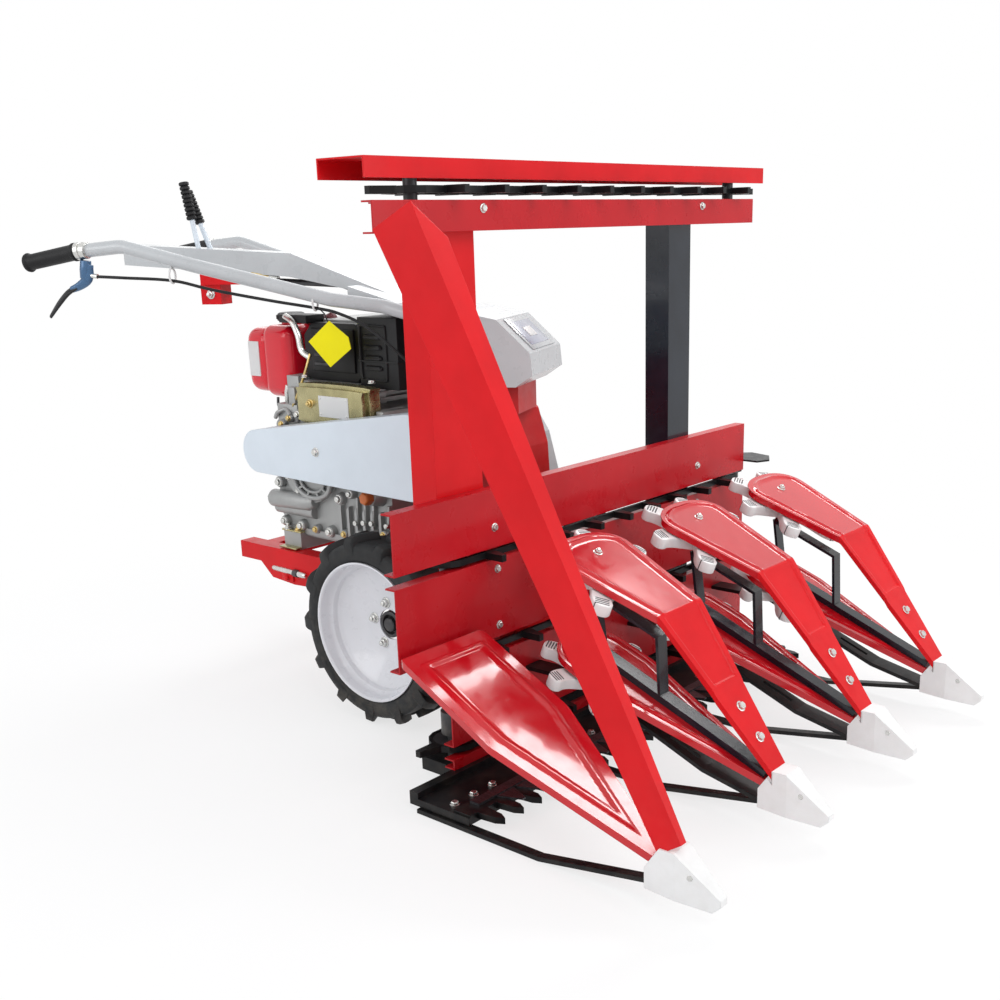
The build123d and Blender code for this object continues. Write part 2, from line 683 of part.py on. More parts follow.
def make_tank():
    """The fuel tank at the engine's rear: a sheet shell with its filler neck."""
    def pressing(inset, corner, slope):
        body = slab(TANK_X[0] + inset, TANK_X[1] - inset, TANK_Y[0] + inset, TANK_Y[1] - inset,
                    TANK_Z[0] + inset, TANK_Z[1] - inset)
        body = fillet(body.edges().filter_by(Axis.Z), corner)
        ends = body.faces().sort_by(Axis.Z)
        return chamfer(ends[0].edges() + ends[-1].edges(), slope)
    tank = pressing(0, 28, 14) - pressing(2, 26, 13)
    tank += upright(*FILLER, TANK_Z[1] - 2, TANK_Z[1] + 10, 24)
    return tank - upright(*FILLER, TANK_Z[1] - 6, TANK_Z[1] + 11, 20)


def make_tank_cap():
    """The black filler cap over the neck."""
    cap = upright(*FILLER, TANK_Z[1] + 2, TANK_Z[1] + 24, 32)
    return cap - upright(*FILLER, TANK_Z[1] + 1, TANK_Z[1] + 10, 24)


TANK_Y = (-150.0, 130.0)
FILLER = (-560.0, -60.0)


def make_air_cleaner():
    box = slab(-244, -124, -140, -24, 684, 834)
    box = fillet(box.edges().filter_by(Axis.Z), 18)
    return chamfer(box.faces().sort_by(Axis.Z)[-1].edges(), 6)


def make_muffler():
    box = slab(-244, -124, -8, 132, 690, 778)
    return fillet(box.edges().filter_by(Axis.X), 20)


def make_side_cover():
    """The rocker and side cover with its round boss."""
    cover = slab(-440, -250, -196, -165, 592, 662)
    return fillet(cover.edges().filter_by(Axis.Y), 18)


def make_starter():
    """The fan shroud and pull starter on the engine's left."""
    shroud = across(-385, 530, 150, 210, 132) - across(-385, 530, 149, 207, 129)
    shroud -= across(-385, 530, 206, 211, 74)
    cup = across(-385, 530, 207, 236, 78) - across(-385, 530, 206, 233, 75)
    for n in range(12):
        slot = Pos(-385, 208, 530) * Rot(0, n * 30, 0) * Pos(104, 0, 0) * Box(30, 10, 12)
        shroud -= slot
    return shroud + cup


def belt_outline(inset, y0, y1):
    """The cover's outline: small round end at the engine, larger at the gearbox."""
    rear = across(CRANK_X, CRANK_Z, y0, y1, 48 - inset)
    front = across(DRIVE_X, DRIVE_Z, y0, y1, 88 - inset)
    gap = DRIVE_X - CRANK_X
    rise = DRIVE_Z - CRANK_Z
    long = hypot(gap, rise)
    angle = atan(rise / gap)
    lean = atan((88 - 48) / long)
    top = [(CRANK_X - (48 - inset) * sin(angle + lean), CRANK_Z + (48 - inset) * cos(angle + lean)),
           (DRIVE_X - (88 - inset) * sin(angle + lean), DRIVE_Z + (88 - inset) * cos(angle + lean))]
    low = [(CRANK_X + (48 - inset) * sin(angle - lean), CRANK_Z - (48 - inset) * cos(angle - lean)),
           (DRIVE_X + (88 - inset) * sin(angle - lean), DRIVE_Z - (88 - inset) * cos(angle - lean))]
    return rear + front + prism_y([top[0], top[1], low[1], low[0]], y0, y1)


def make_belt_cover():
    cover = belt_outline(0, -262, -198)
    cover -= belt_outline(SHEET, -259, -197)
    for x, z in COVER_STUDS:
        cover += across(x, z, -260, ENGINE_Y[0], 8)
    return cover


def make_belt_drive():
    """Pulleys with the belts round them, on the crankshaft and the gearbox shaft."""
    belts = belt_outline(9, -246, -210) - belt_outline(20, -247, -209)
    rear = across(CRANK_X, CRANK_Z, -248, ENGINE_Y[0], 28)
    front = across(DRIVE_X, DRIVE_Z, -248, -GEARBOX_HALF, 18)
    wheel = across(DRIVE_X, DRIVE_Z, -246, -210, 68)
    return belts, rear, front + wheel


# Handlebar

SWING = Pos(STEM_X, 0, 0) * Rot(0, 0, SWING_DEG)


def bar_point(back, right, z):
    """A point in the handlebar's own frame: distance behind the stem, to the right, and height."""
    return (-back, -right, z)


STEM_HALF = 104.0


def make_bars():
    """Two tubes from the stem's sides out to the grips."""
    bars = []
    foot = STEM_HALF + BAR_RADIUS - 2
    grip_front = GRIP_REAR_R - GRIP_LENGTH
    for side in (1, -1):
        points = [bar_point(grip_front, side * BAR_HALF, 984), bar_point(740, side * 232, 992),
                  bar_point(600, side * 202, 952), bar_point(318, side * 146, 878),
                  bar_point(215, side * foot, 862), bar_point(110, side * foot, 834)]
        bars.append(rod(points, BAR_RADIUS, 60))
    return bars


def make_grips():
    grips = []
    for side in (1, -1):
        line = Line(bar_point(GRIP_REAR_R, side * BAR_HALF, 963),
                    bar_point(GRIP_REAR_R - GRIP_LENGTH, side * BAR_HALF, 984))
        grips.append(sweep(Plane(origin=line @ 0, z_dir=line % 0) * Circle(GRIP_RADIUS), path=line))
    return grips


def make_stem():
    """The sheet-metal stem over the gearbox, and the lever console along the bars."""
    side = [(96, 724), (92, 768), (22, 834), (-46, 848), (-190, 868), (-300, 902), (-300, 876),
            (-180, 846), (-96, 800), (-80, 700), (60, 700)]
    stem = prism_y(side, -STEM_HALF, STEM_HALF)
    hollow = [(93, 726), (89, 766), (20, 831), (-46, 845), (-190, 865), (-297, 898), (-297, 860),
              (-180, 830), (-100, 790), (-77, 703), (58, 703)]
    stem -= prism_y(hollow, -STEM_HALF + SHEET, STEM_HALF - SHEET)
    console = prism_y([(-215, 874), (-462, 968), (-880, 994), (-880, 950), (-470, 920), (-270, 880)], -36, 36)
    console -= prism_y([(-240, 880), (-462, 965), (-877, 991), (-877, 940), (-470, 910), (-270, 860)], -33, 33)
    return stem + console


def make_stem_foot():
    """The red block between the gearbox and the stem."""
    return slab(-60, 50, -60, 60, GEARBOX_TOP, 700)


def make_levers():
    """Two gear levers with ribbed grips."""
    levers = []
    for n, y in enumerate((-14, 14)):
        base = (-700 + n * 12, y, 980)
        top = (-722 - n * 10, y, 1122 - n * 18)
        run = (top[0] - base[0], top[2] - base[2])
        lever = rod([base, top], 6)
        lever += rod([(base[0] + run[0] * 0.45, y, base[2] + run[1] * 0.45), (top[0], y, top[2] + 4)], 11)
        levers.append(lever)
    return levers


def make_linkage():
    """The red bracket and forked clamp under the lever console."""
    box = slab(-690, -560, -36, 36, 905, 950)
    return box + slab(-700, -650, -22, 22, 862, 905)


def make_clutch_lever():
    """The clutch lever's bracket on the right bar, and the lever."""
    grip_front = GRIP_REAR_R - GRIP_LENGTH
    y = -BAR_HALF
    bracket = slab(-grip_front + 6, -grip_front + 30, y - 10, y + 10, 930, 970)
    lever = prism_y(strip([(-grip_front + 14, 948), (-grip_front - 30, 918), (-grip_front - 96, 872)], 8), y - 9, y + 9)
    return bracket + lever


# Assembly

def export_all():
    parts = {}
    low_sheet, second_sheet = make_low_sheets()
    parts["header_base"] = make_base()
    parts["knife_guards"] = make_guards()
    parts["front_sheets_low"] = solids_of(low_sheet, second_sheet)
    parts["front_sheet_middle"] = sheet_channel(*SHEET_ZS["b"], -HEADER_HALF, HEADER_HALF)
    parts["front_beam_lower"] = sheet_channel(*SHEET_ZS["a"], -HEADER_HALF, HEADER_HALF)
    parts["front_beam_upper"] = make_beam_upper()
    parts["top_hood"] = make_hood()
    parts["post_right"] = make_post(POST_RIGHT, -1)
    parts["post_left"] = make_post(POST_LEFT, 1)
    for level in CHAIN_ZS:
        parts["conveyor_" + level] = make_chain(level, *CHAIN_ENDS[level])
    parts["sprocket_shafts"] = solids_of(*make_sprockets())
    parts["divider_beam"] = make_divider_beam()
    parts["divider_plate"] = make_divider_plate()
    upper = folded_cover("upper", upper_line())
    lower = folded_cover("lower", lower_line())
    parts["upper_covers"] = solids_of(*[Pos(0, y, 0) * upper for y in POD_YS])
    parts["lower_covers"] = solids_of(*[Pos(0, y, 0) * lower for y in POD_YS])
    parts["star_arches"] = solids_of(*[make_arch(y) for y in POD_YS])
    parts["star_carriers"] = solids_of(*[make_star_carrier(y) for y in POD_YS])
    parts["skids"] = solids_of(*[make_skid(y) for y in [FIRST_DIVIDER_Y] + POD_YS])
    tips = []
    for n, y in enumerate([FIRST_DIVIDER_Y] + POD_YS):
        tip = make_tip(y)
        for name in ("divider_beam", "divider_plate", "upper_covers", "lower_covers", "star_arches",
                     "star_carriers", "skids"):
            tip -= parts[name]
        tips.append(sorted(tip.solids(), key=lambda s: s.volume)[-1])
    parts["divider_tips"] = solids_of(*tips)
    for n, y in enumerate(POD_YS, 1):
        star_z = up_cover_z(STAR_X) - UP_STAR_DROP
        parts["star_upper_%d" % n] = tilted(STAR_X, y, star_z) * make_star(UP_STAR_RADIUS)
        parts["star_lower_%d" % n] = tilted(LOW_STAR_X, y, LOW_STAR_Z) * make_star(LOW_STAR_RADIUS)
    parts["knife"] = make_knife()
    for side, name in ((-1, "right"), (1, "left")):
        parts["tyre_" + name] = make_tyre(side)
        parts["rim_" + name] = make_rim(side)
    parts["chassis_frame"] = make_frame()
    parts["gearbox"] = make_gearbox()
    parts["engine_crankcase"] = make_crankcase()
    parts["engine_cylinder"] = make_cylinder()
    parts["engine_side_cover"] = make_side_cover()
    parts["engine_starter"] = make_starter()
    parts["fuel_tank"] = make_tank()
    parts["tank_cap"] = make_tank_cap()
    parts["air_cleaner"] = make_air_cleaner()
    parts["muffler"] = make_muffler()
    parts["belt_cover"] = make_belt_cover()
    parts["belt_drive"] = solids_of(*make_belt_drive())
    bars = make_bars()
    grips = make_grips()
    stem = make_stem()
    parts["handlebar_stem"] = SWING * stem
    parts["handlebars"] = SWING * solids_of(*[bar - grip - stem for bar, grip in zip(bars, grips)])
    parts["handle_grips"] = SWING * solids_of(*grips)
    parts["stem_foot"] = SWING * make_stem_foot()
    levers = solids_of(*make_levers())
    parts["shift_levers"] = SWING * (levers - stem)
    parts["shift_linkage"] = SWING * (make_linkage() - stem)
    parts["clutch_lever"] = SWING * (make_clutch_lever() - bars[0] - grips[0])
    parts["header_hitch"] = solids_of(*make_hitch())
    parts["discharge_guide"] = make_discharge_guide()
    parts["side_guard"] = make_side_guard()

    box = Compound(children=[s for p in parts.values() for s in p.solids()]).bounding_box()
    move = Pos(-(box.min.X + box.max.X) / 2, -(box.min.Y + box.max.Y) / 2, -box.min.Z)
    print("box", box.min, box.max)
    print("origin moved by", move.position)
    for name, shape in parts.items():
        export_step(move * shape, "parts/%s.step" % name)


export_all()
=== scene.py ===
import bmesh
import bpy
import math
from mathutils import Matrix, Vector


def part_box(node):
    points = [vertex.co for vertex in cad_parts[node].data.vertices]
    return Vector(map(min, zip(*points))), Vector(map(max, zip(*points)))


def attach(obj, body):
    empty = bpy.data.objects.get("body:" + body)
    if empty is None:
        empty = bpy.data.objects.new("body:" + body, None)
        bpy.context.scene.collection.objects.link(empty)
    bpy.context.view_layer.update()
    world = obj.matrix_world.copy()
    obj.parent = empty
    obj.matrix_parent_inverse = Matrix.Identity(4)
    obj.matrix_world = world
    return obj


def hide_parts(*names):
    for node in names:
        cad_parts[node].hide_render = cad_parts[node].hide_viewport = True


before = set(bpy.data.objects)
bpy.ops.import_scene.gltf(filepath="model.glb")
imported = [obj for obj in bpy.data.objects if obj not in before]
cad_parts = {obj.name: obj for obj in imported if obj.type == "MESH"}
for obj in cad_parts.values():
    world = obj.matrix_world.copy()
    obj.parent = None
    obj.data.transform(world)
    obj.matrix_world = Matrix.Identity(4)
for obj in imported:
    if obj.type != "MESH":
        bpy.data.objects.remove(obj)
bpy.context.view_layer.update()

# Lengths below are millimetres in the machine's own frame: X forward from the header's
# datum, Y to the left of the header's middle, Z up from the ground.
AXLE_X, AXLE_Z = -66.0, 207.0
WHEEL_Y = 280
# The handlebar is swung about an upright axis at SWING_X; covers and stars lie on one slope
SWING = math.radians(22.0)
SWING_X = 50
SLOPE = math.radians(22.0)
# Middles of the three pods, and the tip of the right-hand plate
POD_YS = (-217.0, 123.0, 463.0)
PLATE_TIP_Y = -557
FORWARD, LEFT, RIGHT, UP = (1, 0, 0), (0, 1, 0), (0, -1, 0), (0, 0, 1)
low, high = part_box("rim_left")
SHIFT = Vector(((low.x + high.x) / 2 - AXLE_X / 1000, 0, 0))
low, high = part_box("front_sheet_middle")
SHIFT.y = (low.y + high.y) / 2


def at(x, y, z):
    return Vector((x, y, z)) / 1000 + SHIFT


def swung(back, right, z):
    """Handlebar's frame to the machine's frame, in mm."""
    x, y = -back, -right
    return (SWING_X + x * math.cos(SWING) - y * math.sin(SWING), x * math.sin(SWING) + y * math.cos(SWING), z)


def turns(count, more=0):
    """Angles that divide a full turn; one more closes it."""
    return [2 * math.pi * k / count for k in range(count + more)]


# Materials

DUST_RGB = (0.42, 0.36, 0.28)
DUST_HEIGHT = 0.30
ROUGH_VARY = 0.06


def material(name, rgb, rough=0.4, metal=0.0, coat=0.0, vary=0.06, scale=9.0, grain=0.0, grain_scale=900.0,
             dust=0.0, edge=0.0, stretch=(1, 1, 1), spots=0.0, spot_rgb=(0.2, 0.1, 0.05), gloss=0.5):
    """A painted, cast or moulded surface: drifting colour, grain, dust near the ground and soft edges."""
    mat = bpy.data.materials.new(name)
    mat.use_nodes = True
    tree = mat.node_tree
    shader = tree.nodes["Principled BSDF"]
    new, link = tree.nodes.new, tree.links.new
    coords = new("ShaderNodeTexCoord")
    mapping = new("ShaderNodeMapping")
    mapping.inputs["Scale"].default_value = stretch
    link(coords.outputs["Object"], mapping.inputs["Vector"])

    def noise(size, detail=4.0, coarse=0.55):
        node = new("ShaderNodeTexNoise")
        node.inputs["Scale"].default_value = size
        node.inputs["Detail"].default_value = detail
        node.inputs["Roughness"].default_value = coarse
        link(mapping.outputs["Vector"], node.inputs["Vector"])
        return node.outputs["Fac"]

    def ramp(value, a, b, start, end):
        node = new("ShaderNodeMapRange")
        node.inputs["From Min"].default_value = a
        node.inputs["From Max"].default_value = b
        node.inputs["To Min"].default_value = start
        node.inputs["To Max"].default_value = end
        link(value, node.inputs["Value"])
        return node.outputs["Result"]

    def mix(factor, one, two):
        node = new("ShaderNodeMix")
        node.data_type = "RGBA"
        for value, socket in ((factor, node.inputs[0]), (one, node.inputs[6]), (two, node.inputs[7])):
            if isinstance(value, bpy.types.NodeSocket):
                link(value, socket)
            elif isinstance(value, float):
                socket.default_value = value
            else:
                socket.default_value = (*value, 1)
        return node.outputs[2]

    dark = [c * (1 - vary) for c in rgb]
    pale = [min(1.0, c * (1 + vary) + vary * 0.02) for c in rgb]
    colour = mix(ramp(noise(scale), 0.35, 0.65, 0, 1), dark, pale)
    if spots:
        colour = mix(ramp(noise(scale * 9, 6.0, 0.7), 0.66, 0.74, 0.0, spots), colour, spot_rgb)
    if dust:
        split = new("ShaderNodeSeparateXYZ")
        link(coords.outputs["Object"], split.inputs[0])
        height = ramp(split.outputs["Z"], 0.0, DUST_HEIGHT, dust, dust * 0.12)
        times = new("ShaderNodeMath")
        times.operation = "MULTIPLY"
        link(height, times.inputs[0])
        link(ramp(noise(34.0, 7.0, 0.65), 0.42, 0.66, 0.0, 1.0), times.inputs[1])
        colour = mix(times.outputs[0], colour, DUST_RGB)
    link(colour, shader.inputs["Base Color"])
    gleam = ramp(noise(scale * 5, 5.0), 0.3, 0.7, rough - ROUGH_VARY, rough + ROUGH_VARY)
    link(gleam, shader.inputs["Roughness"])
    shader.inputs["Metallic"].default_value = metal
    shader.inputs["Coat Weight"].default_value = coat
    shader.inputs["Coat Roughness"].default_value = 0.06
    shader.inputs["Specular IOR Level"].default_value = gloss
    normal = None
    if edge:
        bevel = new("ShaderNodeBevel")
        bevel.samples = 4
        bevel.inputs["Radius"].default_value = edge
        normal = bevel.outputs["Normal"]
    if grain:
        bump = new("ShaderNodeBump")
        bump.inputs["Strength"].default_value = grain
        bump.inputs["Distance"].default_value = 0.0006
        link(noise(grain_scale, 3.0), bump.inputs["Height"])
        if normal:
            link(normal, bump.inputs["Normal"])
        normal = bump.outputs["Normal"]
    if normal:
        link(normal, shader.inputs["Normal"])
    return mat


RED = material("red_paint", (0.64, 0.005, 0.009), rough=0.34, coat=0.05, vary=0.06, grain=0.06,
               grain_scale=260.0, dust=0.03, edge=0.0012, gloss=0.14)
SHEET_RED = material("sheet_red", (0.47, 0.004, 0.010), rough=0.30, coat=0.08, vary=0.08, scale=5.0,
                     grain=0.05, grain_scale=240.0, dust=0.03, edge=0.0012, gloss=0.2)
COVER_RED = material("cover_red", (0.54, 0.003, 0.010), rough=0.16, coat=0.55, vary=0.05, grain=0.04,
                     grain_scale=220.0, dust=0.02, edge=0.0014, gloss=0.3)
RED_CAST = material("red_cast", (0.50, 0.010, 0.012), rough=0.46, coat=0.05, gloss=0.25, vary=0.10, grain=0.6,
                    grain_scale=420.0, dust=0.22, edge=0.002)
BLACK = material("black_paint", (0.004, 0.004, 0.005), rough=0.36, coat=0.04, vary=0.3, grain=0.12,
                 grain_scale=320.0, dust=0.04, edge=0.0010, gloss=0.18)
BLUE_BLACK = material("blue_black_paint", (0.006, 0.010, 0.018), rough=0.20, coat=0.22, vary=0.2, grain=0.08,
                      dust=0.02, edge=0.0010, gloss=0.3)
WHITE = material("white_plastic", (0.80, 0.80, 0.79), rough=0.38, vary=0.03, grain=0.08, grain_scale=500.0,
                 dust=0.10, edge=0.0014)
WHITE_PAINT = material("white_paint", (0.74, 0.75, 0.78), rough=0.30, coat=0.4, vary=0.03, grain=0.05,
                       dust=0.08, edge=0.0012)
PALE = material("pale_plastic", (0.66, 0.73, 0.79), rough=0.36, vary=0.03, grain=0.08, edge=0.002)
GREY_PAINT = material("light_grey_paint", (0.47, 0.49, 0.50), rough=0.30, coat=0.35, vary=0.04, grain=0.06,
                      dust=0.05, edge=0.0012)
GREY_CAST = material("grey_cast", (0.36, 0.365, 0.36), rough=0.48, metal=0.55, vary=0.10, grain=0.8,
                     grain_scale=520.0, edge=0.002, spots=0.3, spot_rgb=(0.16, 0.15, 0.13))
ZINC = material("olive_zinc", (0.40, 0.36, 0.19), rough=0.28, metal=0.85, vary=0.16, scale=24.0, grain=0.2,
                edge=0.0012)
STEEL = material("bright_zinc", (0.62, 0.62, 0.60), rough=0.26, metal=0.95, vary=0.08, scale=60.0, grain=0.1)
BRASS = material("yellow_zinc", (0.62, 0.47, 0.20), rough=0.30, metal=0.9, vary=0.14, scale=60.0, grain=0.1)
DARK_STEEL = material("dark_steel", (0.055, 0.055, 0.06), rough=0.40, metal=0.6, vary=0.2, grain=0.2,
                      dust=0.2, edge=0.0010)
BLACK_PLASTIC = material("black_plastic", (0.010, 0.010, 0.011), rough=0.44, vary=0.2, grain=0.35,
                         grain_scale=700.0, edge=0.0015, gloss=0.25)
RUBBER = material("tyre_rubber", (0.011, 0.012, 0.013), rough=0.64, gloss=0.3, vary=0.3, grain=0.5,
                  grain_scale=380.0, dust=0.12)
BELT = material("belt_rubber", (0.02, 0.02, 0.022), rough=0.7, vary=0.2, grain=0.4)
GRIP_RUBBER = material("grip_rubber", (0.009, 0.009, 0.010), rough=0.50, vary=0.2, grain=0.25, gloss=0.25)
KNIFE = material("knife_steel", (0.10, 0.10, 0.11), rough=0.32, metal=0.85, vary=0.25, scale=40.0, grain=0.2,
                 stretch=(1, 6, 1))
TANK_RED = material("tank_red", (0.68, 0.006, 0.022), rough=0.16, coat=0.4, gloss=0.3, vary=0.04, grain=0.03,
                    edge=0.002)
DARK_RED = material("dark_red_plastic", (0.13, 0.004, 0.010), rough=0.35, vary=0.08, grain=0.1, edge=0.0015)
YELLOW = material("tag_yellow", (0.90, 0.80, 0.005), rough=0.55, gloss=0.15, vary=0.03, grain=0.1)
LABEL = material("blank_label", (0.70, 0.70, 0.69), rough=0.35, vary=0.02, grain=0.03)
ORANGE = material("plug_orange", (0.55, 0.13, 0.02), rough=0.40, vary=0.06)
BLUE = material("bracket_blue", (0.045, 0.12, 0.24), rough=0.30, metal=0.3, coat=0.3, vary=0.12, grain=0.1,
                edge=0.001)
# Painted shade: this dark grey on the star fingers' ends stands for the shadow inside their hollows
STAR_HOLLOW_SHADE = material("star_tip_grey", (0.055, 0.06, 0.065), rough=0.45, vary=0.1, grain=0.2)
PANEL = material("panel_grey", (0.40, 0.42, 0.50), rough=0.22, vary=0.04, coat=0.3)

NODE_MATERIALS = {
    COVER_RED: "upper_covers lower_covers divider_plate",
    BLUE_BLACK: "star_arches post_left",
    SHEET_RED: "front_beam_lower front_beam_upper front_sheet_middle front_sheets_low",
    RED: "divider_beam post_right top_hood chassis_frame shift_linkage header_hitch",
    RED_CAST: "gearbox stem_foot",
    BLACK: "header_base discharge_guide skids star_carriers conveyor_low conveyor_second "
           "conveyor_middle conveyor_top knife_guards engine_starter",
    DARK_STEEL: "sprocket_shafts muffler",
    WHITE: "divider_tips star_upper_1 star_upper_2 star_upper_3 star_lower_1 star_lower_2 star_lower_3",
    WHITE_PAINT: "rim_left rim_right",
    GREY_PAINT: "handlebar_stem handlebars side_guard",
    GREY_CAST: "engine_crankcase engine_cylinder",
    ZINC: "engine_side_cover",
    BLACK_PLASTIC: "air_cleaner clutch_lever tank_cap",
    RUBBER: "tyre_left tyre_right",
    BELT: "belt_drive",
    GRIP_RUBBER: "handle_grips shift_levers",
    KNIFE: "knife",
    TANK_RED: "fuel_tank",
    PALE: "belt_cover",
}
for mat, names in NODE_MATERIALS.items():
    for name in names.split():
        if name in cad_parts:
            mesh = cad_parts[name].data
            mesh.materials.clear()
            mesh.materials.append(mat)


# Mesh building

# Edges sharper than the first angle get a rounding, and past the second they shade as a crease; degrees
BEVEL_ANGLE, SHARP_ANGLE = 32, 38


def frame_of(axis, place):
    """A matrix whose Z runs along the axis, from a place given in the machine's mm."""
    turn = Vector(axis).to_track_quat("Z", "Y").to_matrix().to_4x4()
    return Matrix.Translation(at(*place)) @ turn


class Piece:
    """One mesh, built in metres from simple shapes given in mm."""

    def __init__(self, name, body="machine"):
        self.name, self.body = name, body
        self.mesh, self.mats = bmesh.new(), []

    def slot(self, mat):
        if mat not in self.mats:
            self.mats.append(mat)
        return self.mats.index(mat)

    def face(self, corners, slot):
        face = self.mesh.faces.new(corners)
        face.material_index = slot
        face.smooth = True

    def put(self, points, faces, mat, place=None):
        """Points in the machine's mm, or in a place's own mm, joined by faces."""
        slot, verts = self.slot(mat), []
        for p in points:
            p = (place @ (Vector(p) / 1000)) if place else at(*p)
            verts.append(self.mesh.verts.new(p))
        for corners in faces:
            self.face([verts[i] for i in corners], slot)

    def prism(self, outline, a, b, mat, plane="xz", place=None):
        """An outline carried from a to b across its plane."""
        def point(u, v, w):
            return (u, w, v) if plane == "xz" else (u, v, w)
        n = len(outline)
        points = [point(u, v, w) for w in (a, b) for u, v in outline]
        faces = [list(range(n)), list(range(2 * n - 1, n - 1, -1))]
        faces += [[i, i + n, (i + 1) % n + n, (i + 1) % n] for i in range(n)]
        self.put(points, faces, mat, place)

    def block(self, x0, x1, y0, y1, z0, z1, mat):
        self.prism([(x0, z0), (x1, z0), (x1, z1), (x0, z1)], y0, y1, mat)

    def lathe(self, profile, mat, place, sides=32, closed=False):
        """A profile of (radius, height) turned about the place's Z."""
        points, rows = [], len(profile)
        for r, h in profile:
            points += [(r * math.cos(a), r * math.sin(a), h) for a in turns(sides)]
        faces = []
        for i in range(rows if closed else rows - 1):
            j = (i + 1) % rows
            for k in range(sides):
                m = (k + 1) % sides
                faces.append([i * sides + k, i * sides + m, j * sides + m, j * sides + k])
        if not closed:
            faces.append(list(range(sides))[::-1])
            faces.append([(rows - 1) * sides + k for k in range(sides)])
        self.put(points, faces, mat, place)

    def bar(self, points, radius, mat, sides=12, flat=1.0):
        """A round bar along points, with its ends closed; radius may change along it."""
        points = [at(*p) for p in points]
        radii = radius if isinstance(radius, (list, tuple)) else [radius] * len(points)
        rings, normal = [], None
        for i, p in enumerate(points):
            ahead = points[min(i + 1, len(points) - 1)] - points[max(i - 1, 0)]
            ahead.normalize()
            if normal is None:
                normal = ahead.orthogonal().normalized()
            normal = (normal - ahead * normal.dot(ahead)).normalized()
            other = ahead.cross(normal)
            rings.append([self.mesh.verts.new(p + (normal * math.cos(a) + other * math.sin(a) * flat)
                                              * radii[i] / 1000) for a in turns(sides)])
        slot = self.slot(mat)
        quads = [[a[k], a[(k + 1) % sides], b[(k + 1) % sides], b[k]]
                 for a, b in zip(rings, rings[1:]) for k in range(sides)]
        for corners in quads + [rings[0][::-1], rings[-1]]:
            self.face(corners, slot)

    def bolt(self, place, axis, size=8.0, mat=STEEL, stud=0.0):
        """A hexagon head on a washer, with the stud's end through it where there is one."""
        spot = frame_of(axis, place)
        self.lathe([(size * 1.15, -0.4), (size * 1.15, 1.1), (size * 1.02, 1.5)], mat, spot, 20)
        across = size * 0.92
        self.lathe([(across, 1.3), (across, size * 0.62), (across * 0.84, size * 0.8)], mat, spot, 6)
        if stud:
            end = size * 0.8 + stud
            self.lathe([(size * 0.5, 1.0), (size * 0.5, end - 1), (size * 0.38, end)], mat, spot, 12)

    def done(self, *replaced, bevel=0.0, segments=2, thick=0.0):
        """Make the object, round its edges or give its sheet a wall, and set it on its body."""
        bmesh.ops.recalc_face_normals(self.mesh, faces=self.mesh.faces)
        data = bpy.data.meshes.new(self.name)
        self.mesh.to_mesh(data)
        self.mesh.free()
        for mat in self.mats:
            data.materials.append(mat)
        obj = bpy.data.objects.new(self.name, data)
        bpy.context.scene.collection.objects.link(obj)
        if bevel:
            rounding = obj.modifiers.new("rounding", "BEVEL")
            rounding.width = bevel / 1000
            rounding.segments = segments
            rounding.limit_method = "ANGLE"
            rounding.angle_limit = math.radians(BEVEL_ANGLE)
        if thick:
            wall = obj.modifiers.new("wall", "SOLIDIFY")
            wall.thickness = thick / 1000
            wall.offset = -1
        if bevel or thick:
            shaped = obj.evaluated_get(bpy.context.evaluated_depsgraph_get())
            obj.data = bpy.data.meshes.new_from_object(shaped)
            obj.modifiers.clear()
        obj.data.set_sharp_from_angle(angle=math.radians(SHARP_ANGLE))
        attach(obj, self.body)
        if replaced:
            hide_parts(*replaced)


def curve(points, per):
    """Points of a smooth line through the given points."""
    points = [Vector(p) for p in points]
    ends = [2 * points[0] - points[1]] + points + [2 * points[-1] - points[-2]]
    line = []
    for a, b, c, d in zip(ends, ends[1:], ends[2:], ends[3:]):
        for k in range(per):
            t = k / per
            line.append(0.5 * ((2 * b) + (c - a) * t + (2 * a - 5 * b + 4 * c - d) * t ** 2
                               + (3 * b - a - 3 * c + d) * t ** 3))
    return line + [points[-1]]


# Wheels

def wheel_place(hand):
    """Local Z points out of the machine, from the wheel's middle."""
    return frame_of((0, hand, 0), (AXLE_X, hand * WHEEL_Y, AXLE_Z))


def turned(radius, angle, height):
    return (radius * math.cos(angle), radius * math.sin(angle), height)


# Outlines of radius and height: tyre, rim with its dish, and hub
CARCASS = [(150, -46), (158, -51), (172, -51.5), (183, -49), (189, -42), (191, -20), (191.5, 0), (191, 20),
           (189, 42), (183, 49), (172, 51.5), (158, 51), (150, 46), (149.6, 0)]
RIM = [(150, 49), (151, 51.6), (147.5, 51.6), (144.5, 48), (143, 34), (140, 26), (135, 22), (132, 12),
       (122, 4), (68, -17), (60, -20), (33, -20), (33, -26), (60, -26), (70, -23), (126, -3), (137, 6),
       (142, 14), (144.5, 0), (144.5, -48), (147.5, -51.6), (151, -51.6), (150, -49)]
HUB = [(26, -74), (33, -70), (33, -40), (29, -30), (29, -19), (22, -18), (20, -30), (15, -30), (15, -16),
       (12, -13)]
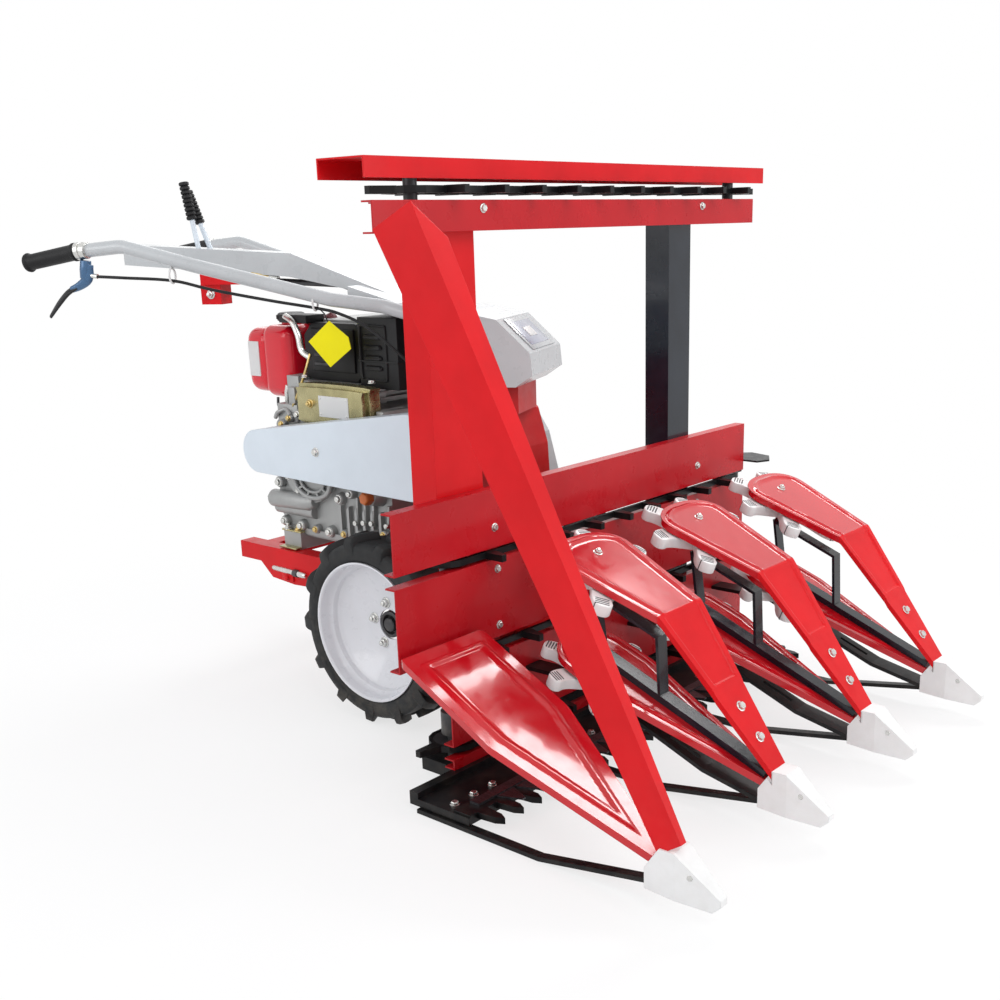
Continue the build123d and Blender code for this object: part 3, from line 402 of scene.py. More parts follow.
# Stations along a lug: distance from the middle, root radius, top radius, half width at the top
LUG = [(-4, 188, 206.4, 10), (16, 188, 206.6, 10), (36, 187, 205.8, 10.5), (48, 182, 201, 11),
       (52, 174, 190, 11), (51.8, 164, 168, 9)]
LUGS = 26
LUG_LEAN = math.tan(math.radians(30))
LUG_FLARE = 4
WHEEL_BOLTS, BOLT_CIRCLE, BOLT_START = 5, 48, 0.5
DISC_FACE = -19.5
for side_name, hand in (("right", -1), ("left", 1)):
    body = "wheel_" + side_name
    place = wheel_place(hand)
    tyre = Piece("tyre_" + side_name + "_tread", body)
    tyre.lathe(CARCASS, RUBBER, place, 96, closed=True)
    for n in range(LUGS):
        way = 1 if n % 2 else -1
        points = []
        for along, root, top, half in LUG:
            foot = half + LUG_FLARE
            for radius, width in ((root, foot), (top, half), (top, -half), (root, -foot)):
                angle = 2 * math.pi * n / LUGS + ((along - 24) * LUG_LEAN + width) / radius
                points.append(turned(radius, angle, way * along))
        faces = [[4 * s + k, 4 * s + (k + 1) % 4, 4 * s + 4 + (k + 1) % 4, 4 * s + 4 + k]
                 for s in range(len(LUG) - 1) for k in range(4)]
        last = 4 * (len(LUG) - 1)
        tyre.put(points, faces + [[3, 2, 1, 0], [last, last + 1, last + 2, last + 3]], RUBBER, place)
    tyre.done("tyre_" + side_name, bevel=1.4)

    rim = Piece("rim_" + side_name + "_disc", body)
    rim.lathe(RIM, WHITE_PAINT, place, 72, closed=True)
    rim.lathe(HUB, DARK_STEEL, place, 32)
    for n in range(WHEEL_BOLTS):
        angle = 2 * math.pi * n / WHEEL_BOLTS + BOLT_START
        centre = place @ (Vector(turned(BOLT_CIRCLE, angle, DISC_FACE)) / 1000)
        rim.bolt((centre - SHIFT) * 1000, (0, hand, 0), 10.5, stud=5)
    rim.done("rim_" + side_name, bevel=0.8)


# Pressed covers of the dividers

# A place on the upper covers' rear plane, the kink ahead of it, and the end of the strap
UPPER_X, UPPER_Z = 475, 427
KINK_X = 635.0
KINK_Z = UPPER_Z - math.tan(SLOPE) * (KINK_X - UPPER_X)
STRAP_X, STRAP_Z = 848, 103
STRAP_FALL = (KINK_Z - STRAP_Z) / (STRAP_X - KINK_X)
UPPER_END, LOWER_END = 850, 836
# The lower covers and the plate lie on one slope, through this place
LOWER_X, LOWER_Z = 305, 300
# Half widths from the round rear end to the front, and where each stretch begins
UPPER_REAR, UPPER_KINK, UPPER_TIP = 99, 68, 22
LOWER_REAR, LOWER_BROAD, LOWER_TIP = 86, 88, 16
UPPER_ROUND_X, LOWER_ROUND_X, LOWER_BROAD_X = 455, 460, 520
# Length of the round rear ends, and the power of their curve
UPPER_ROUND, LOWER_ROUND, ROUND_POWER = 55, 71, 2.3
PANEL_END, STEP_END, LOWER_BEAD_END = 733, 742, 760
EDGE_DEPTH = 14
COLUMNS = 56


def smooth(value):
    value = min(1.0, max(0.0, value))
    return value * value * (3 - 2 * value)


def rounded_end(share):
    return max(0.0, 1 - share ** ROUND_POWER) ** (1 / ROUND_POWER)


def upper_half(x):
    if x < UPPER_ROUND_X:
        return UPPER_REAR * rounded_end((UPPER_ROUND_X - x) / UPPER_ROUND)
    if x < KINK_X:
        return UPPER_REAR - (UPPER_REAR - UPPER_KINK) * (x - UPPER_ROUND_X) / (KINK_X - UPPER_ROUND_X)
    return UPPER_KINK - (UPPER_KINK - UPPER_TIP) * (x - KINK_X) / (UPPER_END - KINK_X)


def strap_height(x):
    return KINK_Z - STRAP_FALL * (x - KINK_X)


def upper_height(x):
    slope = UPPER_Z - math.tan(SLOPE) * (x - UPPER_X)
    share = smooth((x - KINK_X + 5) / 10)
    return slope * (1 - share) + strap_height(x) * share


def ridge_line(inset, line, width):
    """1 on a line at some distance from the edge, falling off to each side."""
    return math.exp(-((inset - line) / width) ** 2)


def upper_relief(x, inset):
    """Raised bead behind the kink; sunk panel, then a step down to the strap, ahead of it."""
    bead = 4.2 * ridge_line(inset, 17, 4.2) * smooth((KINK_X + 6 - x) / 12)
    panel = smooth((x - KINK_X - 4) / 5) * smooth((PANEL_END - x) / 5) * smooth((inset - 12) / 5)
    ridge = 3.0 * smooth((x - KINK_X + 2) / 8) * smooth((STEP_END - x) / 5)
    return bead + ridge - 5.0 * panel


def lower_half(x):
    if x < LOWER_ROUND_X:
        return LOWER_REAR * rounded_end((LOWER_ROUND_X - x) / LOWER_ROUND)
    if x < LOWER_BROAD_X:
        return LOWER_REAR + (LOWER_BROAD - LOWER_REAR) * (x - LOWER_ROUND_X) / (LOWER_BROAD_X - LOWER_ROUND_X)
    return LOWER_BROAD - (LOWER_BROAD - LOWER_TIP) * (x - LOWER_BROAD_X) / (LOWER_END - LOWER_BROAD_X)


def lower_height(x):
    return LOWER_Z - math.tan(SLOPE) * (x - LOWER_X)


def lower_relief(x, inset):
    """Raised bead that fades out ahead."""
    return 4.0 * ridge_line(inset, 16, 4.0) * smooth((LOWER_BEAD_END - x) / 30)


def plate_relief(x, inset):
    """A flat-topped band that follows the plate's edge."""
    return 3.0 * smooth((inset - 25) / 4) * smooth((41 - inset) / 4)


def pressing(name, xs, right, left, height, relief, front_mat=None):
    """A pressed sheet between two sides over places along X, with its edge turned down.
    Faces ahead of the kink take the front material, where there is one."""
    piece, row = Piece(name), COLUMNS + 1
    points, faces = [], []
    rim_line = [(x, right(x)) for x in xs] + [(x, left(x)) for x in xs]
    for x in xs:
        centre, half = (left(x) + right(x)) / 2, (left(x) - right(x)) / 2
        for k in range(row):
            y = centre + math.sin(math.pi / 2 * (2 * k / COLUMNS - 1)) * half
            inset = min(x - xs[0], min(math.hypot(x - a, y - b) for a, b in rim_line))
            points.append((x, y, height(x) + relief(x, inset)))
    for i in range(len(xs) - 1):
        for k in range(COLUMNS):
            a = i * row + k
            faces.append([a, a + row, a + row + 1, a + 1])
    last = (len(xs) - 1) * row
    loop = (list(range(row)) + [i * row + COLUMNS for i in range(1, len(xs))]
            + [last + k for k in range(COLUMNS - 1, -1, -1)] + [i * row for i in range(len(xs) - 2, 0, -1)])
    start, n = len(points), len(loop)
    for index in loop:
        x, y, z = points[index]
        points.append((x, y, z - EDGE_DEPTH))
    for i in range(n):
        j = (i + 1) % n
        faces.append([loop[i], loop[j], start + j, start + i])
    piece.put(points, faces, COVER_RED)
    if front_mat:
        slot = piece.slot(front_mat)
        for face in piece.mesh.faces:
            if face.calc_center_median().x > at(KINK_X, 0, 0).x:
                face.material_index = slot
    return piece


def along_x(*runs):
    """Places along X from runs of (first, step, count)."""
    return [first + step * k for first, step, count in runs for k in range(count)]


def between(table, x):
    for (x0, y0), (x1, y1) in zip(table, table[1:]):
        if x <= x1:
            return y0 + (y1 - y0) * (x - x0) / (x1 - x0)
    return table[-1][1]


# Close rows at the round rear end, the kink and the panel, wider ones between
UPPER_XS = along_x((400.4, 1.1, 2), (403.5, 2.5, 1), (406, 3, 14), (452, 8, 22), (628, 2.5, 6), (643, 3, 34),
                   (745, 12, 9)) + [UPPER_END]
LOWER_XS = along_x((389.3, 1.2, 2), (392.5, 2.5, 1), (395, 3, 16), (446, 8, 49)) + [LOWER_END]
for n, y in enumerate(POD_YS, 1):
    for name, xs, half, height, relief, front_mat in (
            ("upper_cover", UPPER_XS, upper_half, upper_height, upper_relief, RED),
            ("lower_cover", LOWER_XS, lower_half, lower_height, lower_relief, None)):
        cover = pressing("%s_%d" % (name, n), xs, lambda x: y - half(x), lambda x: y + half(x), height,
                         relief, front_mat)
        cover.done(*([name + "s"] if n == 1 else []), thick=2.4)

# Broad plate of the right-hand divider: x and y of its right and left edges
PLATE_RIGHT = [(305, -580), (311, -583), (520, -610), (528, -611.6), (536, -611), (836, -569)]
PLATE_LEFT = [(305, -384), (309, -377), (318, -375), (524, -401), (534, -404), (836, -545)]
PLATE_XS = along_x((305, 2, 30), (365, 4, 34), (501, 5, 67)) + [LOWER_END]
plate = pressing("divider_plate_pressing", PLATE_XS, lambda x: between(PLATE_RIGHT, x),
                 lambda x: between(PLATE_LEFT, x), lower_height, plate_relief)
plate.done("divider_plate", thick=2.6)


# Star wheels

# Level, x and z of the middle, radius
STARS = (("upper", 475, 397, 140), ("lower", 470, 200, 130))
# Finger outline: distance along the finger and across it, for a star of radius 1
FINGER = [(0.34, -0.20), (0.52, -0.19), (0.68, -0.205), (0.84, -0.20), (0.955, -0.145), (0.985, -0.05),
          (0.965, 0.035), (0.89, 0.075), (0.80, 0.055), (0.68, 0.07), (0.52, 0.13), (0.34, 0.20)]
FINGERS, FINGER_HALF = 7, 11.5
RIBS, RIB_START, RIB_STEP, RIB_WIDTH, RIB_HALF = 4, 0.80, 0.04, 3.4, 12.2
RIB_SIDES = (-0.165, 0.03)
finger_line = curve([(u, v, 0) for u, v in FINGER], 3)
for level, x, z, radius in STARS:
    for n, y in enumerate(POD_YS, 1):
        name = "star_%s_%d" % (level, n)
        place = Matrix.Translation(at(x, y, z)) @ Matrix.Rotation(SLOPE, 4, "Y")
        star = Piece(name + "_wheel", name)
        v0, v1 = (side * radius for side in RIB_SIDES)
        for angle in turns(FINGERS):
            spin = place @ Matrix.Rotation(angle, 4, "Z")
            star.prism([(p.x * radius, p.y * radius) for p in finger_line], -FINGER_HALF, FINGER_HALF, WHITE,
                       "xy", spin)
            # Dark plates near each finger's end: painted shade of the hollows in the white finger
            for m in range(RIBS):
                u = (RIB_START + RIB_STEP * m) * radius
                star.prism([(u, v0), (u + RIB_WIDTH, v0), (u + RIB_WIDTH, v1), (u, v1)], -RIB_HALF, RIB_HALF,
                           STAR_HOLLOW_SHADE, "xy", spin)
        star.lathe([(8.1, -11), (21, -11), (22, -7), (0.40 * radius, -6.9), (0.42 * radius, -5),
                    (0.42 * radius, 5), (0.40 * radius, 6.9), (22, 7), (21, 11), (8.1, 11)], WHITE, place, 48,
                   closed=True)
        star.done(name, bevel=4.0, segments=3)


# Handlebar

def hand_frame(points):
    """Points of (back, right, up) in the handlebar's frame, in the machine's."""
    return [swung(*p) for p in points]


HAND_Y = 250
GRIP_LENGTH = 128
# Distance along the grip from its rear end, and radius
GRIP = [(0, 15), (1.5, 18.5), (6, 20), (9, 18.6), (11, 16.2), (118, 16.4), (121, 18.6), (126, 18.6),
        (GRIP_LENGTH, 16)]
COLLAR = [(128.5, 16.5), (130, 18), (138, 18), (139.5, 16.5)]
grips = Piece("grip_rubbers")
for hand in (1, -1):
    rear, front = Vector((965, hand * HAND_Y, 963)), Vector((837, hand * HAND_Y, 984))
    for profile, mat in ((GRIP, GRIP_RUBBER), (COLLAR, STEEL)):
        spots = [rear + (front - rear) * (d / GRIP_LENGTH) for d, _ in profile]
        grips.bar(hand_frame(spots), [r for _, r in profile], mat, 24)
grips.done("handle_grips", bevel=0.6)

LEVER_RIBS, KNOB_START = 9, 0.44
# Place along one rib, and radius
RIB = ((0.0, 8.2), (0.22, 11), (0.74, 11), (0.96, 8.2))
levers = Piece("lever_knobs")
for n, y in enumerate((-14, 14)):
    base, top = Vector((700 - n * 12, -y, 980)), Vector((722 + n * 10, -y, 1122 - n * 18))
    levers.bar(hand_frame([base, base + (top - base) * 0.55]), 5.5, PALE, 14)
    spots, radii = [], []
    for k in range(LEVER_RIBS):
        for step, radius in RIB:
            spots.append(base + (top - base) * (KNOB_START + (k + step) * 0.56 / LEVER_RIBS))
            radii.append(radius)
    levers.bar(hand_frame(spots), radii, GRIP_RUBBER, 18)
levers.done("shift_levers")

clutch = Piece("clutch_bracket")
clutch.bar(hand_frame([(824, HAND_Y, 986), (812, HAND_Y, 986)]), 17, STEEL, 24)
clutch.bar(hand_frame([(819, HAND_Y, 966), (822, HAND_Y, 948), (826, HAND_Y, 930)]), [11, 12, 10], BLUE, 16)
hook = curve([(812, HAND_Y, 958), (820, HAND_Y, 930), (840, HAND_Y, 916), (862, HAND_Y, 908)], 4)
clutch.bar(hand_frame(hook), [9, 9.5, 10.5, 11, 11, 10.5, 10, 9.5, 9, 8.5, 8, 7.5, 7], BLUE, 14, 0.7)
blade = curve([(846, HAND_Y, 914), (872, HAND_Y, 902), (898, HAND_Y, 880), (924, HAND_Y, 853)], 5)
swell = [7 + 4 * math.sin(math.pi * i / 15) for i in range(16)]
clutch.bar(hand_frame(blade), swell, BLACK_PLASTIC, 16, 0.45)
clutch.done("clutch_lever", bevel=0.5)

cable = Piece("clutch_cable")
route = curve([(808, 248, 934), (740, 240, 930), (640, 214, 922), (560, 196, 902), (440, 172, 878),
               (350, 154, 862), (300, 148, 850), (240, 140, 820), (160, 132, 752), (100, 116, 690),
               (60, 100, 640)], 6)
cable.bar(hand_frame(route), 3.2, BLACK_PLASTIC, 12)
cable.bar(hand_frame([(812, 249, 936), (796, 248, 934)]), 5, STEEL, 12)
for back, right, z in ((640, 214, 922), (350, 154, 862)):
    circle = [(back, right + 11 * math.cos(a), z + 10 + 15 * math.sin(a)) for a in turns(20, 1)]
    cable.bar(hand_frame(circle), 2.2, LABEL, 8)
cable.done()

linkage = Piece("linkage_fittings")
for right, way in ((-22.5, -1), (22.5, 1)):
    linkage.bolt(swung(675, right, 884), (way * math.sin(SWING), -way * math.cos(SWING), 0), 9, stud=6)
linkage.bar(hand_frame([(562, 30, 926), (540, 30, 922), (520, 30, 918)]), [8, 8, 6], BRASS, 16)
linkage.bar(hand_frame([(520, 30, 918), (500, 30, 914)]), 9, STEEL, 6)
linkage.bar(hand_frame([(600, -20, 912), (380, -30, 900), (240, -40, 850)]), 7, DARK_STEEL, 12)
linkage.done(bevel=0.5)


def raised(piece, low, high, half, lift, mat):
    """A thin plate on the console's sloping front, between two places of (back, up)."""
    corners = [(low[0], -half, low[1]), (high[0], -half, high[1]), (high[0], half, high[1]),
               (low[0], half, low[1])]
    a, b, c, d = [Vector(swung(*p)) for p in corners]
    normal = (b - a).cross(d - a).normalized()
    if normal.z < 0:
        normal = -normal
    points = [a, b, c, d] + [p + normal * lift for p in (a, b, c, d)]
    faces = [[0, 3, 2, 1], [4, 5, 6, 7]] + [[i, (i + 1) % 4, (i + 1) % 4 + 4, i + 4] for i in range(4)]
    piece.put(points, faces, mat)


console = Piece("console_panel")
raised(console, (-88, 772), (-26, 830.5), 70, 2.0, GREY_PAINT)
raised(console, (-80, 779.5), (-34, 823), 58, 3.2, PANEL)
raised(console, (-66, 793), (-48, 810), 22, 4.4, LABEL)
console.done(bevel=0.6)


# Engine

# Right side of the crankcase, from inside its skin out: skin, machined face, top of the bosses
SKIN_Y, FACE_Y, BOSS_Y = -164, -176, -179
RING_X, RING_Y, RING_Z = -380, -184, 470


def oval(angle, wide, tall):
    return (RING_X + wide * math.cos(angle), RING_Y, RING_Z + tall * math.sin(angle))


engine = Piece("engine_castings")
OUTER, INNER = (62, 40), (40, 26)
for size, radius, sides in ((OUTER, 6, 10), (INNER, 4, 8)):
    engine.bar([oval(a, *size) for a in turns(40, 1)], radius, GREY_CAST, sides)
for a in turns(10):
    engine.bar([oval(a, *INNER), oval(a, *OUTER)], 3.4, GREY_CAST, 8)
barrel = [(-534, FACE_Y, 412), (-530, FACE_Y, 412), (-400, FACE_Y, 416), (-384, FACE_Y, 418)]
engine.bar(barrel, [17, 21, 20, 12], GREY_CAST, 24)
engine.bar([(-548, FACE_Y, 412), (-534, FACE_Y, 412)], [9, 9], STEEL, 6)
# Bolt bosses: x, z, size
BOSSES = ((-508, 452, 9), (-470, 470, 8), (-436, 440, 8), (-300, 436, 9), (-262, 452, 8), (-214, 470, 8),
          (-500, 360, 8), (-440, 356, 9), (-388, 354, 7), (-340, 354, 9), (-290, 356, 7), (-240, 360, 8),
          (-196, 368, 8), (-160, 372, 7), (-480, 590, 7), (-452, 606, 7), (-420, 616, 8))
for x, z, size in BOSSES:
    radii = [size * 1.6, size * 1.5, size * 1.3]
    engine.bar([(x, SKIN_Y, z), (x, FACE_Y, z), (x, BOSS_Y, z)], radii, GREY_CAST, 16)
    engine.bolt((x, BOSS_Y, z), RIGHT, size, STEEL if size > 7 else BRASS)
PLUG_X = -176
engine.bar([(PLUG_X, SKIN_Y, 452), (PLUG_X, -180, 454), (PLUG_X, -196, 456)], [20, 18, 16], GREY_CAST, 20)
engine.bar([(PLUG_X, -196, 456), (PLUG_X, -214, 458), (PLUG_X, -217, 458)], [15, 15, 12], ORANGE, 6)
# Ribs with a plug each: x, lower and upper end
for x, z0, z1 in ((-250, 380, 446), (-224, 384, 452), (-198, 386, 440), (-150, 386, 438)):
    engine.prism([(x, z0), (x + 7, z0), (x + 11, z1), (x + 4, z1)], FACE_Y, SKIN_Y, GREY_CAST)
    engine.bar([(x + 4, FACE_Y, z0 + 8), (x + 4, -184, z0 + 8)], 6, STEEL, 12)
# Casting steps above the belt cover: x0, x1, y0, y1, z0, z1
STEPS = ((-500, -430, -170, -60, 596, 636), (-470, -430, -160, -80, 636, 700),
         (-452, -430, -174, -96, 640, 676), (-250, -180, -170, -80, 596, 640),
         (-170, -150, -168, -90, 560, 640), (-440, -250, -150, -60, 640, 690))
for step in STEPS:
    engine.block(*step, GREY_CAST)
for x in (-486, -462):
    engine.bar([(x, -150, 636), (x, -150, 660), (x + 6, -150, 676)], 6, STEEL, 10)
pipe = curve([(-512, -168, 602), (-490, -178, 616), (-470, -170, 624), (-446, -178, 612)], 5)
engine.bar(pipe, 5, GREY_CAST, 10)
engine.done(bevel=1.6)

# Olive pressed cover: rim, and a raised face that is smaller about the rim's middle
COVER_RIM_Y, COVER_FACE_Y = -180, -195.5
COVER_X, COVER_Z = -289, 645
cover = Piece("rocker_cover")
outline = curve([(-402, 612, 0), (-402, 676, 0), (-388, 690, 0), (-190, 690, 0), (-176, 676, 0),
                 (-176, 612, 0), (-190, 600, 0), (-388, 600, 0), (-402, 612, 0)], 3)[:-1]
cover.prism([(p.x, p.y) for p in outline], COVER_RIM_Y, -150, ZINC)
inner = [(COVER_X + (p.x - COVER_X) * 0.93, COVER_Z + (p.y - COVER_Z) * 0.84) for p in outline]
cover.prism(inner, COVER_FACE_Y, COVER_RIM_Y, ZINC)
cover.bolt((-352, COVER_FACE_Y, 648), RIGHT, 9, BRASS, stud=4)
cover.block(-322, -226, -197, -195, 622, 668, LABEL)
for x, z in ((-316, 662), (-232, 662), (-316, 628), (-232, 628)):
    cover.bar([(x, -196.5, z), (x, -198.2, z)], [2.6, 1.8], STEEL, 10)
for x in (-398, -180):
    cover.bolt((x, -166, 700), UP, 8)
cover.done("engine_side_cover", bevel=3.0, segments=3)

shroud = Piece("cylinder_shroud")
outline = [(-432, 700), (-420, 692), (-262, 692), (-250, 704), (-250, 806), (-262, 818), (-404, 818),
           (-432, 790)]
shroud.prism(outline, -132, -100, BLACK_PLASTIC)
shroud.block(-402, -262, -138, -132, 712, 806, BLACK_PLASTIC)
for n in range(4):
    shroud.block(-392, -340, -141, -137, 724 + n * 20, 732 + n * 20, DARK_STEEL)
shroud.done(bevel=3.0, segments=3)

cleaner = Piece("air_cleaner_body")
cleaner.block(-244, -124, -139, -24, 684, 834, BLACK_PLASTIC)
bead = curve([(-232, 704, 0), (-236, 716, 0), (-236, 806, 0), (-226, 816, 0), (-166, 816, 0), (-158, 806, 0),
              (-158, 712, 0), (-168, 702, 0), (-222, 702, 0)], 3)
cleaner.bar([(p.x, -140.5, p.y) for p in bead], 2.6, BLACK_PLASTIC, 8)
for n in range(4):
    z = 794 - n * 22
    cleaner.bar([(-224, -138.5, z), (-221, -140.6, z), (-176, -140.6, z), (-173, -138.5, z)], [5, 7, 7, 5],
                BLACK_PLASTIC, 12, 0.5)
    cleaner.block(-221, -176, -144.6, -142.2, z - 3.2, z + 3.2, BLACK)
cleaner.block(-246, -122, -142, -22, 740, 744, BLACK_PLASTIC)
cleaner.bar([(-184, -80, 834), (-184, -80, 838), (-184, -80, 842)], [11, 11, 8], BLACK_PLASTIC, 16)
cleaner.done("air_cleaner", bevel=5.0, segments=3)

shell = Piece("tank_shell")
shell.block(-638, -548, -146, 126, 652, 800, TANK_RED)
shell.done("fuel_tank", bevel=30, segments=7)
shell = Piece("tank_shell_front")
shell.block(-572, -470, -150, 130, 644, 808, TANK_RED)
shell.done(bevel=26, segments=7)
NECK_X, NECK_Y, NECK_Z = -560, -60, 808
CAP_RADIUS = 33
neck = Piece("tank_neck")
spot = frame_of(UP, (NECK_X, NECK_Y, NECK_Z))
neck.lathe([(24, -4), (24, 8), (20, 10)], TANK_RED, spot, 32)
neck.lathe([(25, 4), (32, 5), (CAP_RADIUS, 8), (CAP_RADIUS, 18), (30, 22), (26, 23.5), (10, 24)],
           BLACK_PLASTIC, spot, 40)
for a in turns(20):
    x, y = NECK_X + CAP_RADIUS * math.cos(a), NECK_Y + CAP_RADIUS * math.sin(a)
    neck.bar([(x, y, NECK_Z + 9), (x, y, NECK_Z + 18)], 2.2, BLACK_PLASTIC, 6)
neck.done("tank_cap", bevel=0.5)
tank = Piece("tank_fittings")
tank.block(-618, -580, -148.4, -144, 690, 770, LABEL)
tank.block(-494, -400, -150, -96, 816, 834, BLACK_PLASTIC)
strap = curve([(-470, -152, 832), (-440, -156, 820), (-420, -158, 790), (-412, -158, 758),
               (-388, -156, 744)], 5)
tank.bar(strap, 7.5, STEEL, 14, 0.7)
pipe = curve([(-384, -158, 752), (-396, -166, 712), (-424, -170, 660), (-446, -168, 632)], 4)
tank.bar(pipe, 3.2, BRASS, 12)
hose = curve([(-520, -150, 646), (-518, -152, 626), (-500, -154, 618), (-478, -154, 626),
              (-474, -152, 640)], 4)
tank.bar(hose, 3.4, DARK_STEEL, 10)
tank.bar([(-498, -60, 812), (-430, -60, 816), (-412, -60, 822)], 14, DARK_RED, 16)
tank.done(bevel=1.2)

tag = Piece("hang_tag")
card = [(-352, 782), (-280, 828), (-222, 796), (-216, 772), (-286, 730)]
tag.prism(card, -186.4, -185, YELLOW)
tag.bar([(-284, -185, 822), (-300, -180, 842), (-318, -178, 852)], 1.4, BLACK_PLASTIC, 8)
tag.done()

exhaust = Piece("muffler_guard")
for n in range(6):
    exhaust.block(-238 + n * 19, -228 + n * 19, 16, 108, 777.5, 780.5, DARK_STEEL)
outlet = curve([(-184, 132, 734), (-184, 150, 736), (-190, 166, 744), (-206, 178, 752)], 4)
exhaust.bar(outlet, 15, DARK_STEEL, 20)
for x, z in ((-232, 702), (-136, 702), (-232, 766), (-136, 766)):
    exhaust.bolt((x, 132, z), LEFT, 7)
exhaust.done(bevel=1.0)

STARTER_X, STARTER_Z, STARTER_BOLTS = -385, 530, 119
starter = Piece("starter_handle")
starter.bar([(-330, 226, 600), (-318, 246, 612)], 5, BLACK_PLASTIC, 12)
handle = [(-340, 250, 606), (-336, 252, 607), (-300, 252, 618), (-296, 250, 619)]
starter.bar(handle, [6, 9, 9, 6], BLACK_PLASTIC, 16)
for n in range(4):
    a = math.pi / 4 + n * math.pi / 2
    x, z = STARTER_X + STARTER_BOLTS * math.cos(a), STARTER_Z + STARTER_BOLTS * math.sin(a)
    starter.bolt((x, 210, z), LEFT, 8)
starter.lathe([(20, 0), (20, 3), (14, 5)], DARK_STEEL, frame_of(LEFT, (STARTER_X, 236, STARTER_Z)), 32)
starter.done(bevel=0.6)

mounts = Piece("engine_feet")
for x in (-465, -200):
    for y in (-182, 167):
        mounts.block(x - 34, x + 34, y - 6, y + 8, 340, 344, ZINC)
        mounts.block(x - 30, x + 30, y - 20, y + 20, 302, 306, ZINC)
        mounts.bolt((x - 18, y, 344), UP, 8, stud=8)
        mounts.bolt((x + 18, y, 344), UP, 8, BRASS, stud=8)
mounts.bar([(-520, -206, 250), (-514, -207, 250), (-400, -214, 250), (-392, -214, 250)], [5, 7, 7, 5], STEEL,
           14)
mounts.bar([(-436, -212, 250), (-420, -213, 250)], 9, DARK_STEEL, 12)
mounts.block(-480, -440, -214, -190, 226, 246, RED)
mounts.bolt((-460, -214, 236), RIGHT, 8, RED)
mounts.done(bevel=0.8)


# Bolts of the header and the dividers

FRONT_X, BASE_X, BASE_Z = 293, 372, 26
# y and z of the bolts on the beams and sheets, and y of those on the base
FRONT_BOLTS = ((-316, 1043), (377, 1043), (-316, 480), (371, 485), (-312, 400), (-312, 290), (371, 400),
               (371, 290), (-314, 210), (371, 210))
BASE_BOLT_YS = (-534, -484, -434, -334, -134, 66, 266, 466)
screws = Piece("header_bolts")
for y, z in FRONT_BOLTS:
    screws.bolt((FRONT_X, y, z), FORWARD, 7)
for y in BASE_BOLT_YS:
    screws.bolt((BASE_X, y, BASE_Z), UP, 8)
screws.bolt((-265, -262, 558), RIGHT, 9)
for y in POD_YS:
    screws.bolt((457, y, 434.3), (math.sin(SLOPE), 0, math.cos(SLOPE)), 8, stud=3)
    for x in (764, 803):
        screws.bolt((x, y, strap_height(x)), Vector((STRAP_FALL, 0, 1)).normalized(), 8.5)
for y in POD_YS + (PLATE_TIP_Y,):
    screws.bolt((894, y - 14.5, 78), RIGHT, 6)
screws.done()


# Camera, light and floor

def aim(place, forward, up):
    back = -Vector(forward).normalized()
    right = Vector(up).cross(back).normalized()
    above = back.cross(right)
    turn = Matrix((right, above, back)).transposed().to_4x4()
    return Matrix.Translation(place) @ turn


CAMERA_PLACE = (1777, -1952, 1013)
YAW, PITCH, ROLL = math.radians(40.41), math.radians(16.76), math.radians(-1.5)
forward = Vector((-math.sin(YAW) * math.cos(PITCH), math.cos(YAW) * math.cos(PITCH), -math.sin(PITCH)))
side = Vector((math.cos(YAW), math.sin(YAW), 0))
level = side.cross(forward)
camera = bpy.data.cameras.new("camera")
camera.lens = 44.15
camera.sensor_width = 36.0
camera.shift_x = -0.0337
camera.shift_y = 0.0945
camera.clip_end = 60.0
view = bpy.data.objects.new("camera", camera)
view.matrix_world = aim(at(*CAMERA_PLACE), forward, -math.sin(ROLL) * side + math.cos(ROLL) * level)
bpy.context.scene.collection.objects.link(view)
bpy.context.scene.camera = view


# Name, place, target, size, power; in metres and watts
LAMPS = (("key", (2.6, -1.2, 3.4), (0.2, 0, 0.4), (2.4, 2.4), 62),
         ("front", (3.4, 1.4, 1.6), (0.2, 0, 0.5), (1.6, 2.2), 26),
         ("right", (-1.0, -3.4, 1.9), (-0.2, 0, 0.5), (2.6, 1.8), 38),
         ("back", (-2.6, 2.2, 2.6), (-0.2, 0, 0.6), (2.2, 2.2), 20),
         ("glare", (-0.1, 1.75, 2.45), (0.5, -0.3, 0.3), (1.7, 0.7), 42))
for name, place, target, size, power in LAMPS:
    data = bpy.data.lights.new(name, "AREA")
    data.shape = "RECTANGLE"
    data.size, data.size_y = size
    data.energy = power
    light = bpy.data.objects.new(name, data)
    light.matrix_world = aim(Vector(place), Vector(target) - Vector(place), (0, 0, 1.001))
    bpy.context.scene.collection.objects.link(light)


def seen_rays(tree):
    """1 for rays from the camera or from a gloss, 0 for the rest."""
    path = tree.nodes.new("ShaderNodeLightPath")
    seen = tree.nodes.new("ShaderNodeMath")
    seen.operation = "MAXIMUM"
    tree.links.new(path.outputs["Is Camera Ray"], seen.inputs[0])
    tree.links.new(path.outputs["Is Glossy Ray"], seen.inputs[1])
    return seen.outputs[0]


def blend(tree, factor, one, two, end):
    mixer = tree.nodes.new("ShaderNodeMixShader")
    for socket, value in zip(mixer.inputs, (factor, one, two)):
        tree.links.new(value, socket)
    tree.links.new(mixer.outputs[0], end.inputs["Surface"])


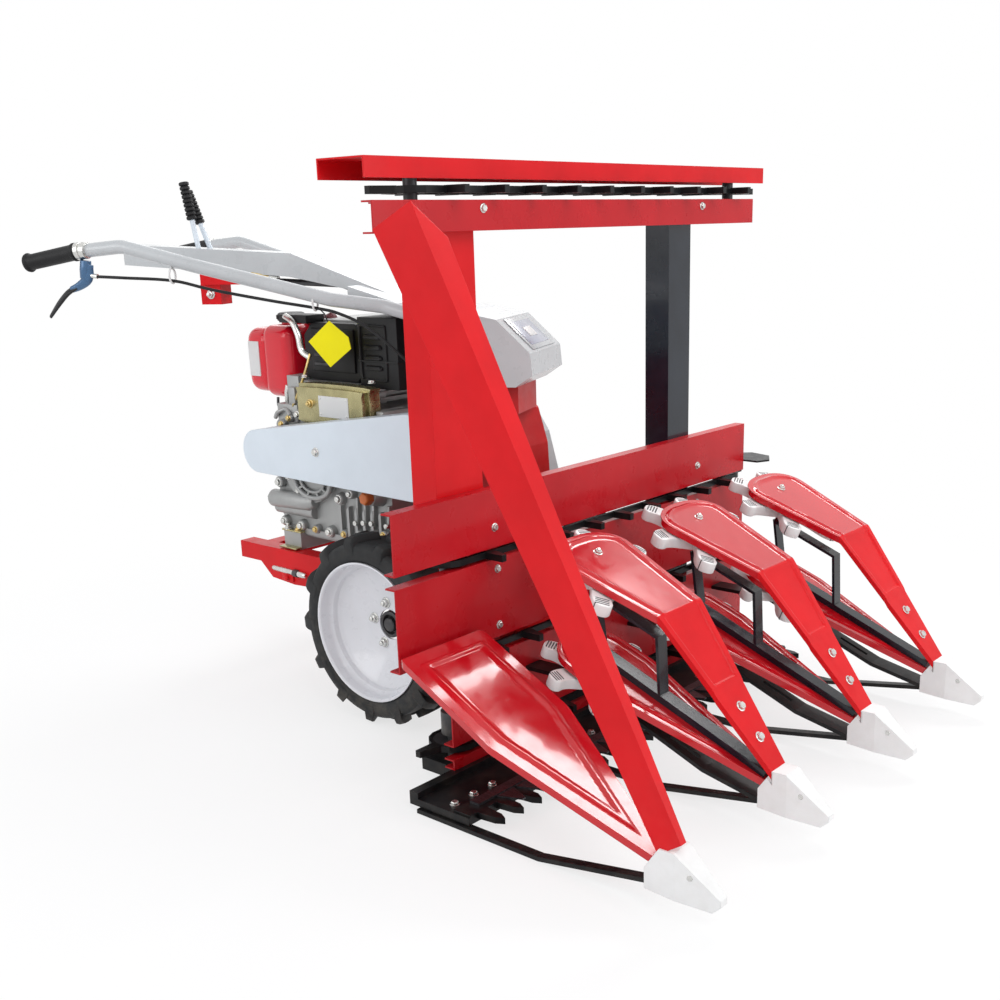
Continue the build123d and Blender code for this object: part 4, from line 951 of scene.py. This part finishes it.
world = bpy.data.worlds.new("world")
bpy.context.scene.world = world
world.use_nodes = True
tree = world.node_tree
background = tree.nodes["Background"]
background.inputs["Color"].default_value = (0.93, 0.95, 1.0, 1)
background.inputs["Strength"].default_value = 0.56
white = tree.nodes.new("ShaderNodeBackground")
white.inputs["Color"].default_value = (1, 1, 1, 1)
blend(tree, seen_rays(tree), background.outputs[0], white.outputs[0], tree.nodes["World Output"])

# Metres: half the floor's side, and how far it lies under the wheels
FLOOR_REACH, FLOOR_DROP = 30, 0.0005
floor_mesh = bpy.data.meshes.new("floor")
corners = [(x * FLOOR_REACH, y * FLOOR_REACH, 0) for x, y in ((-1, -1), (1, -1), (1, 1), (-1, 1))]
floor_mesh.from_pydata(corners, [], [(0, 1, 2, 3)])
floor = bpy.data.objects.new("floor", floor_mesh)
floor.location.z = -FLOOR_DROP
bpy.context.scene.collection.objects.link(floor)

# Near the machine this share of the floor, as the camera or a gloss sees it, is plain white and the rest
# keeps the shadow; past the fade, in metres from the middle, all of it is plain white
NEAR_WHITE, FADE_START, FADE_END = 0.72, 0.7, 1.9
ground = bpy.data.materials.new("floor_white")
ground.use_nodes = True
tree = ground.node_tree
shader = tree.nodes["Principled BSDF"]
shader.inputs["Base Color"].default_value = (0.9, 0.9, 0.9, 1)
shader.inputs["Roughness"].default_value = 0.95
glow = tree.nodes.new("ShaderNodeEmission")
away = tree.nodes.new("ShaderNodeVectorMath")
away.operation = "LENGTH"
tree.links.new(tree.nodes.new("ShaderNodeTexCoord").outputs["Object"], away.inputs[0])
fade = tree.nodes.new("ShaderNodeMapRange")
fade.interpolation_type = "SMOOTHSTEP"
fade.inputs["From Min"].default_value = FADE_START
fade.inputs["From Max"].default_value = FADE_END
fade.inputs["To Min"].default_value = NEAR_WHITE
tree.links.new(away.outputs["Value"], fade.inputs["Value"])
share = tree.nodes.new("ShaderNodeMath")
share.operation = "MULTIPLY"
tree.links.new(seen_rays(tree), share.inputs[0])
tree.links.new(fade.outputs["Result"], share.inputs[1])
blend(tree, share.outputs[0], shader.outputs[0], glow.outputs[0], tree.nodes["Material Output"])
floor_mesh.materials.append(ground)

bpy.context.scene.view_settings.view_transform = "Standard"
